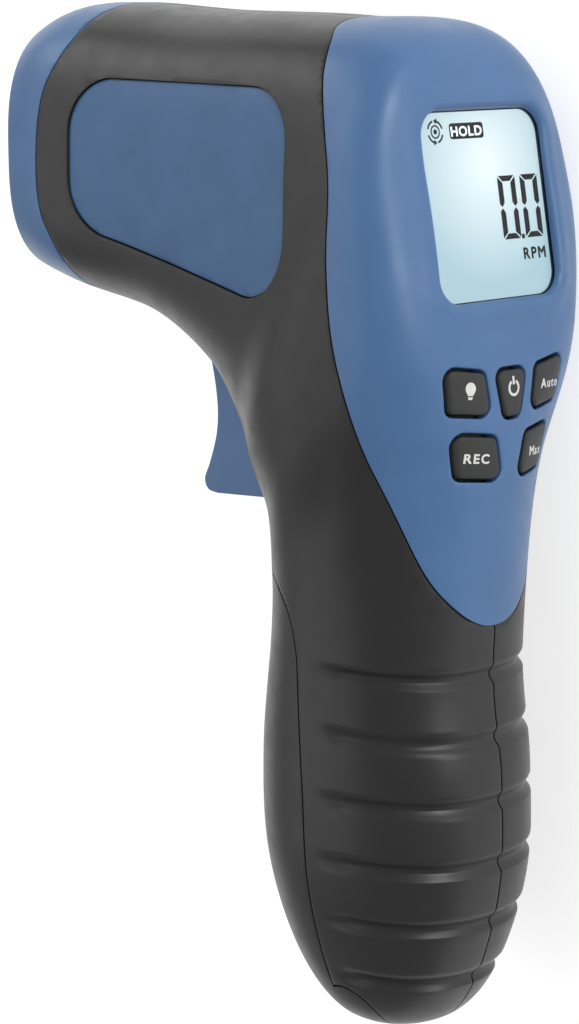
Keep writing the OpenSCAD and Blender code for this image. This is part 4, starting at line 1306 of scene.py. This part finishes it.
class Flat:
    """Flat lettering and signs, drawn in millimetres with x to the reader's right and y up."""

    @staticmethod
    def slab(name: str, outline: list, thick: float) -> Piece:
        """Make a thin closed slab from an outline.

        Args:
            name: Name of the slab.
            outline: Points of the outline in order.
            thick: Thickness.

        Returns:
            The slab, in millimetres, lying on the plane of its drawing.
        """
        line = np.asarray(outline, float)
        Bench.clear()
        bpy.ops.mesh.primitive_circle_add(vertices=len(line), fill_type="NGON")
        piece = Bench.named(name)
        piece.data.vertices.foreach_set("co", np.column_stack([line, np.zeros(len(line))]).ravel())
        bpy.ops.object.mode_set(mode="EDIT")
        bpy.ops.mesh.select_all(action="SELECT")
        bpy.ops.mesh.extrude_region_move(TRANSFORM_OT_translate={"value": (0, 0, thick)})
        bpy.ops.mesh.select_all(action="SELECT")
        bpy.ops.mesh.normals_make_consistent(inside=False)
        bpy.ops.object.mode_set(mode="OBJECT")
        return piece

    @staticmethod
    def words(name: str, text: str, size: float, thick: float, bold: float, wide: float) -> Piece:
        """Set a word in plain letters about the drawing's origin.

        Args:
            name: Name of the piece.
            text: The word.
            size: Height of a capital letter.
            thick: Thickness.
            bold: How far the strokes are fattened on each side.
            wide: Stretch of the letters along the line.

        Returns:
            The word as a mesh, in millimetres.
        """
        letters = [Flat.letter(letter, size, thick, bold, wide) for letter in text]
        widths = [max(corner[0] for corner in piece.bound_box) for piece in letters]
        space = 0.2 * size
        left = -(sum(widths) + space * (len(letters) - 1)) / 2
        for piece, width in zip(letters, widths):
            piece.data.transform(Matrix.Translation((left, -size / 2, 0)))
            left += width + space
        return Bench.joined(name, letters)

    @staticmethod
    def letter(sign: str, size: float, thick: float, bold: float, wide: float) -> Piece:
        """Set one letter with its left edge and its foot on the drawing's axes.

        Args:
            sign: The letter.
            size: Height of a capital letter.
            thick: Thickness.
            bold: How far the strokes are fattened on each side.
            wide: Stretch of the letter along the line.

        Returns:
            The letter as a mesh, in millimetres.
        """
        Bench.clear()
        bpy.ops.object.text_add()
        shape = bpy.context.object.data
        shape.body, shape.size, shape.extrude, shape.resolution_u = sign, size / CAPITAL, thick / 2, 6
        bpy.ops.object.convert(target="MESH")
        piece = Bench.named("letter")
        piece.data.transform(Matrix.Translation((0, 0, thick / 2)) @ Matrix.Diagonal((wide, 1, 1, 1)))
        Bench.close(piece)
        turns = np.arange(0, 2 * math.pi, math.pi / 4)
        copies = [Bench.twin(piece, "stroke") for _ in turns]
        for copy, turn in zip(copies, turns):
            copy.data.transform(Matrix.Translation((bold * math.cos(turn), bold * math.sin(turn), 0)))
        Bench.shape(piece, Cut.JOIN, *copies)
        piece.data.transform(Matrix.Translation((-min(corner[0] for corner in piece.bound_box), 0, 0)))
        return piece

    @staticmethod
    def band(inner: float, outer: float, first: float, last: float, steps: int = 24) -> list[np.ndarray]:
        """Draw a curved band between two radii and two angles in degrees."""
        turn = np.radians(np.linspace(first, last, steps + 1))
        ring = np.column_stack([np.cos(turn), np.sin(turn)])
        return [*(ring * outer), *(ring[::-1] * inner)]

    @staticmethod
    def lay(piece: Piece, lateral: float, up: float, height: Ground) -> Piece:
        """Lay a flat piece on the rear of the body.

        Args:
            piece: The piece as drawn.
            lateral: Lateral place of the drawing's origin.
            up: Place of the drawing's origin up the display.
            height: Gives the height of the ground at rows of (lateral, up).

        Returns:
            The piece in the frame.
        """
        flat = np.empty(len(piece.data.vertices) * 3)
        piece.data.vertices.foreach_get("co", flat)
        flat = flat.reshape(-1, 3)
        ground = np.column_stack([lateral - flat[:, 0], up + flat[:, 1]])
        placed = to_frame(on_display(ground, height(ground) + flat[:, 2]))
        piece.data.vertices.foreach_set("co", placed.ravel())
        piece.data.update()
        return piece


@dataclass
class Keypad:
    """The five keys with their legends."""

    form: BodyForm
    proud: float = 0.3
    roll: float = 0.6
    crown: float = 0.1
    flange: float = 0.6
    foot: float = 7.0
    least: float = 0.3
    gap: float = 0.7
    letter: float = 1.4
    play: float = 0.4
    run_out: float = 1.2
    ink: float = 0.04
    bold: float = 0.06
    wide: float = 1.1

    @property
    def rest(self) -> float:
        """How far the flange stands out of the cap's own outline."""
        return self.flange + self.gap / 2

    def build(self) -> None:
        """Make every key and its legend."""
        for key in KEYS:
            cap = self.cap(key)
            set_in(cap, key.body, Finishes.KEY, f"key_{key.name}")
            ground = BVHTree.FromObject(cap, bpy.context.evaluated_depsgraph_get())
            legend = self.legend(key, partial(height_on, ground, miss=-5.0))
            set_in(legend, key.body, Finishes.LEGEND)

    def cap(self, key: Key) -> Piece:
        """Make a key with a rolled rim, a faint crown and a flange where the bezel leaves it room."""
        outline = key.outline()
        outward = normals_of(outline, True)
        outline = outline - outward * self.gap / 2
        middle = outline.mean(axis=0)
        under = self.form.height_at(outline + outward * self.rest) - SIZE.wall - self.play
        room = ease((under + self.foot - self.least) / self.run_out)
        rest = outline + outward * (self.rest * room)[:, None]
        under = np.maximum(under, self.least - self.foot)
        rows = [(rest, -self.foot), (rest, under), (outline, under)]
        for turn in np.radians(np.linspace(0, 90, 7)):
            line = outline - outward * self.roll * (1 - math.cos(turn))
            rows.append((line, self.form.height_at(line) + self.proud - self.roll * (1 - math.sin(turn))))
        rim = outline - outward * self.roll
        for share in (0.85, 0.68, 0.5, 0.33, 0.17, 0.04):
            line = middle + (rim - middle) * share
            rows.append((line, self.form.height_at(line) + self.proud + self.crown * (1 - share**2)))
        cap = Bench.lofted(f"{key.name}_key_cap", np.array([on_display(*row) for row in rows]))
        Bench.smooth(cap, 40)
        return cap

    def legend(self, key: Key, height: Ground) -> Piece:
        """Print a key's legend on its top."""
        thick = self.ink
        if key.word:
            sign = Flat.words(f"{key.name}_legend", key.word, self.letter, thick, self.bold, self.wide)
        elif key.name == "power":
            sign = Bench.joined("power_legend", [
                Flat.slab("ring", Flat.band(0.85, 1.27, 118, 422), thick),
                Flat.slab("bar", [(-0.22, 0.5), (0.22, 0.5), (0.22, 1.75), (-0.22, 1.75)], thick),
            ])
        else:
            bulb = [*Flat.band(0, 0.95, -48, 228)[:25], (-0.46, -1.05), (0.46, -1.05)]
            sign = Bench.joined("lamp_legend", [
                Flat.slab("bulb", bulb, thick),
                Flat.slab("base", [(-0.46, -1.22), (0.46, -1.22), (0.3, -1.62), (-0.3, -1.62)], thick),
            ])
        sign.data.transform(Matrix(((1, 0, 0, 0), (key.lean, 1, 0, 0), (0, 0, 1, 0), (0, 0, 0, 1))))
        return Flat.lay(sign, *key.sign_at, height)


@dataclass
class Display:
    """The clear window and what the liquid crystal panel shows."""

    rim: float = 1.0
    corner: float = 2.0
    edge: float = 0.15
    back: float = 1.6
    screen: float = 1.7
    thick: float = 0.03
    shade_band: float = 0.18
    overlap: float = 0.6
    digit_width: float = 4.05
    digit_height: float = 9.55
    bar: float = 1.1
    flat: float = 0.85
    split: float = 0.1
    digits_at: tuple = ((3.2, -5.4), (8.4, -5.4))
    turning_at: tuple = (-9.4, 11.25)
    tag_at: tuple = (-2.45, 11.2)
    tag_size: tuple = (7.6, 2.35)
    unit_at: tuple = (9.95, -7.7)

    def build(self) -> None:
        """Make the window and the shown signs."""
        self.window()
        self.mask()
        self.signs()

    def window(self) -> None:
        """Make the clear window plate with its rim behind the bezel."""
        corners = box_corners(SIZE.window_width + 2 * self.rim, SIZE.window_height + 2 * self.rim)
        outline = rounded(corners, self.corner)
        rings = [on_display(outline, -depth) for depth in (self.back, SIZE.window_recess)]
        plate = Bench.lofted("clear_window", np.array(rings))
        Bench.round_edges(plate, self.edge, 2, 50)
        Bench.smooth(plate, 12)
        set_in(plate, Carrier.HOUSING, Finishes.WINDOW, "display_window")

    def mask(self) -> None:
        """Print a dark band on the back of the window, which paints the shade of the opening's inner wall."""
        opening = rounded(box_corners(SIZE.window_width, SIZE.window_height), SIZE.window_corner, 12)
        rings = []
        inner, outer = self.shade_band, -self.overlap
        for inset, depth in ((inner, 0.0), (outer, 0.0), (outer, self.thick), (inner, self.thick)):
            line = opening - normals_of(opening, True) * inset
            rings.append(on_display(line, -self.back - depth))
        shade_band = Bench.lofted("window_shade_band", np.array([*rings, rings[0]]))
        Bench.smooth(shade_band, 20)
        set_in(shade_band, Carrier.HOUSING, Finishes.SHADE_BAND)

    def digit(self, left: float, base: float) -> list[Points]:
        """Draw the six lit segments of a zero, as outlines."""
        width, tall, bar, flat, gap = self.digit_width, self.digit_height, self.bar, self.flat, self.split
        half = tall / 2
        top = [(gap * 2, 0), (width - gap * 2, 0), (width - bar - gap, -flat), (bar + gap, -flat)]
        side = [
            (0, -gap * 2), (bar, -flat - gap * 2), (bar, -half + bar * 0.7), (bar * 0.5, -half + gap),
            (0, -half + bar * 0.5),
        ]
        shapes = []
        for flip_x in (False, True):
            for flip_y in (False, True):
                shapes.append([(width - x if flip_x else x, -tall - y if flip_y else y) for x, y in side])
        shapes += [top, [(x, -tall - y) for x, y in top]]
        return [[(left + x, base + tall + y) for x, y in shape] for shape in shapes]

    def signs(self) -> None:
        """Draw the digits, the unit, the turning sign and the hold tag on the panel."""
        shapes = [shape for place in self.digits_at for shape in self.digit(*place)]
        shapes.append([(7.4, -5.5), (8.05, -5.5), (8.05, -4.8), (7.4, -4.8)])
        turning = [Flat.band(0.01, 0.38, 0, 359), Flat.band(0.78, 1.02, 0, 359)]
        turning += [Flat.band(1.45, 1.75, start, start + 58) for start in (15, 105, 195, 285)]
        turning += [
            [(2.05 * math.cos(a), 2.05 * math.sin(a)), (1.15 * math.cos(a), 1.15 * math.sin(a)),
             (1.65 * math.cos(a + 0.4), 1.65 * math.sin(a + 0.4))]
            for a in np.radians([73, 253])
        ]
        shapes += [[tuple(np.asarray(point) + self.turning_at) for point in shape] for shape in turning]
        tag = rounded(box_corners(*self.tag_size), 0.5)
        shapes.append([tuple(point + self.tag_at) for point in tag])
        slabs = [Flat.slab("segment", shape, self.thick) for shape in shapes]
        unit = Flat.words("unit", "RPM", 1.75, self.thick, 0.08, 1.05)
        unit.data.transform(Matrix.Translation((*self.unit_at, 0)))
        dark = Flat.lay(Bench.joined("display_segments", [*slabs, unit]), 0, 0, partial(level, -self.screen))
        set_in(dark, Carrier.HOUSING, Finishes.SEGMENT)
        held = Flat.words("display_tag_letters", "HOLD", 1.45, self.thick, 0.06, 1.2)
        held = Flat.lay(held, -self.tag_at[0], self.tag_at[1], partial(level, -self.screen + self.thick))
        set_in(held, Carrier.HOUSING, Finishes.CLEAR_LETTER)


@dataclass
class Studio:
    """The pale floor, the soft lights and the camera."""

    target: tuple = (0.00042, -0.00064, 0.02501)
    back: tuple = (0.68681, 0.19081, 0.70135)
    right: tuple = (0.71447, 0.0, -0.69966)
    distance: float = 0.44
    lens: float = 94.92
    floor_white: float = 0.6
    ambient: float = 0.42
    sensor: float = 36.0
    clip: tuple = (0.01, 50.0)
    boxes: tuple = (
        ("overhead", (-0.6, 0.0, 0.85), 1.0, 2.3), ("rear", (1.0, 0.15, 0.24), 0.38, 2.0),
        ("head", (0.95, 0.8, 0.34), 0.45, 5.0), ("front", (-0.7, 0.65, 0.5), 0.5, 1.8),
    )

    def build(self) -> None:
        """Set the whole studio up."""
        self.floor()
        self.lights()
        self.camera()

    def floor(self) -> None:
        """Lay the floor."""
        Bench.clear()
        bpy.ops.mesh.primitive_plane_add(size=8.0, location=(0, 0, 0))
        floor = bpy.context.object
        floor.name = "floor"
        board = NodeBoard("floor_pale")
        path = board.add("ShaderNodeLightPath").outputs
        seen = path["Is Camera Ray"]
        for ray in ("Is Glossy Ray", "Is Transmission Ray"):
            both = board.add("ShaderNodeMath", operation="MAXIMUM")
            board.feed(both.inputs[0], seen)
            board.feed(both.inputs[1], path[ray])
            seen = both.outputs["Value"]
        tone = board.mix(board.noise(400.0), (0.80, 0.80, 0.80), (0.82, 0.82, 0.82))
        board.surface(
            base_color=tone, roughness=0.9, emission_color=(1.0, 1.0, 1.0, 1.0),
            emission_strength=board.span(seen, 0.0, 1.0, to_high=self.floor_white),
        )
        floor.data.materials.append(board.material)

    def lights(self) -> None:
        """Hang the soft boxes and light the world a little."""
        for name, place, size, power in self.boxes:
            Bench.clear()
            bpy.ops.object.light_add(type="AREA", location=place)
            lamp = bpy.context.object
            lamp.name = name
            lamp.data.shape, lamp.data.size, lamp.data.energy = "SQUARE", size, power
            lamp.rotation_mode = "QUATERNION"
            lamp.rotation_quaternion = (-Vector(place)).to_track_quat("-Z", "Y")
        world = bpy.data.worlds.new("studio")
        world.use_nodes = True
        nodes = world.node_tree.nodes
        seen = nodes.new("ShaderNodeLightPath").outputs["Is Camera Ray"]
        level = nodes.new("ShaderNodeMapRange")
        level.inputs["To Min"].default_value = self.ambient
        world.node_tree.links.new(seen, level.inputs["Value"])
        world.node_tree.links.new(level.outputs["Result"], nodes["Background"].inputs["Strength"])
        nodes["Background"].inputs["Color"].default_value = (1.0, 1.0, 1.0, 1.0)
        bpy.context.scene.world = world

    def camera(self) -> None:
        """Put the camera at the picture's angle."""
        Bench.clear()
        bpy.ops.object.camera_add()
        camera = bpy.context.object
        back, right = Vector(self.back).normalized(), Vector(self.right).normalized()
        up = back.cross(right)
        place = Vector(self.target) + back * self.distance
        camera.matrix_world = Matrix((
            (right.x, up.x, back.x, place.x), (right.y, up.y, back.y, place.y),
            (right.z, up.z, back.z, place.z), (0, 0, 0, 1),
        ))
        camera.data.sensor_width, camera.data.lens = self.sensor, self.lens
        camera.data.clip_start, camera.data.clip_end = self.clip
        bpy.context.scene.camera = camera
        bpy.context.scene.view_settings.view_transform = "Standard"


def dress_frame() -> None:
    """Give every node of the frame that stays in sight its finish."""
    finishes = {
        Finishes.STEEL: ("door_hinge_pin", "trigger_pin", "housing_screws", "board_screws"),
        Finishes.CHIP: ("trigger_switch", "controller_chip", "board_capacitors", "photo_sensor", "battery_snap"),
        Finishes.BOARD: ("switch_board", "main_board", "sensor_board"),
        Finishes.WHITE: ("backlight_panel", "display_frame"),
        Finishes.RIBBON: ("sensor_ribbon", "switch_ribbon"),
        Finishes.SCREEN: ("lcd_panel",),
        Finishes.MAT: ("keypad_mat",),
        Finishes.DARK: ("lens_holder",),
        Finishes.LENS: ("focus_lens",),
        Finishes.BRASS: ("laser_module",),
        Finishes.RED: ("battery_lead_red",),
        Finishes.BARE_BLACK: ("battery_lead_black",),
    }
    for finish, names in finishes.items():
        for name in names:
            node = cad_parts[name]
            node.data.materials.clear()
            node.data.materials.append(finish.material())
            LOG.info("node %s has finish %s", name, finish.name)


def main() -> None:
    """Build the studio and every piece in order."""
    logging.basicConfig(level=logging.INFO, format="%(message)s")
    Studio().build()
    dress_frame()
    form = BodyForm()
    Shells(form).build()
    Panels(form).build()
    Trigger().build()
    Battery().build()
    Keypad(form).build()
    Display().build()


if __name__ == "__main__":
    main()
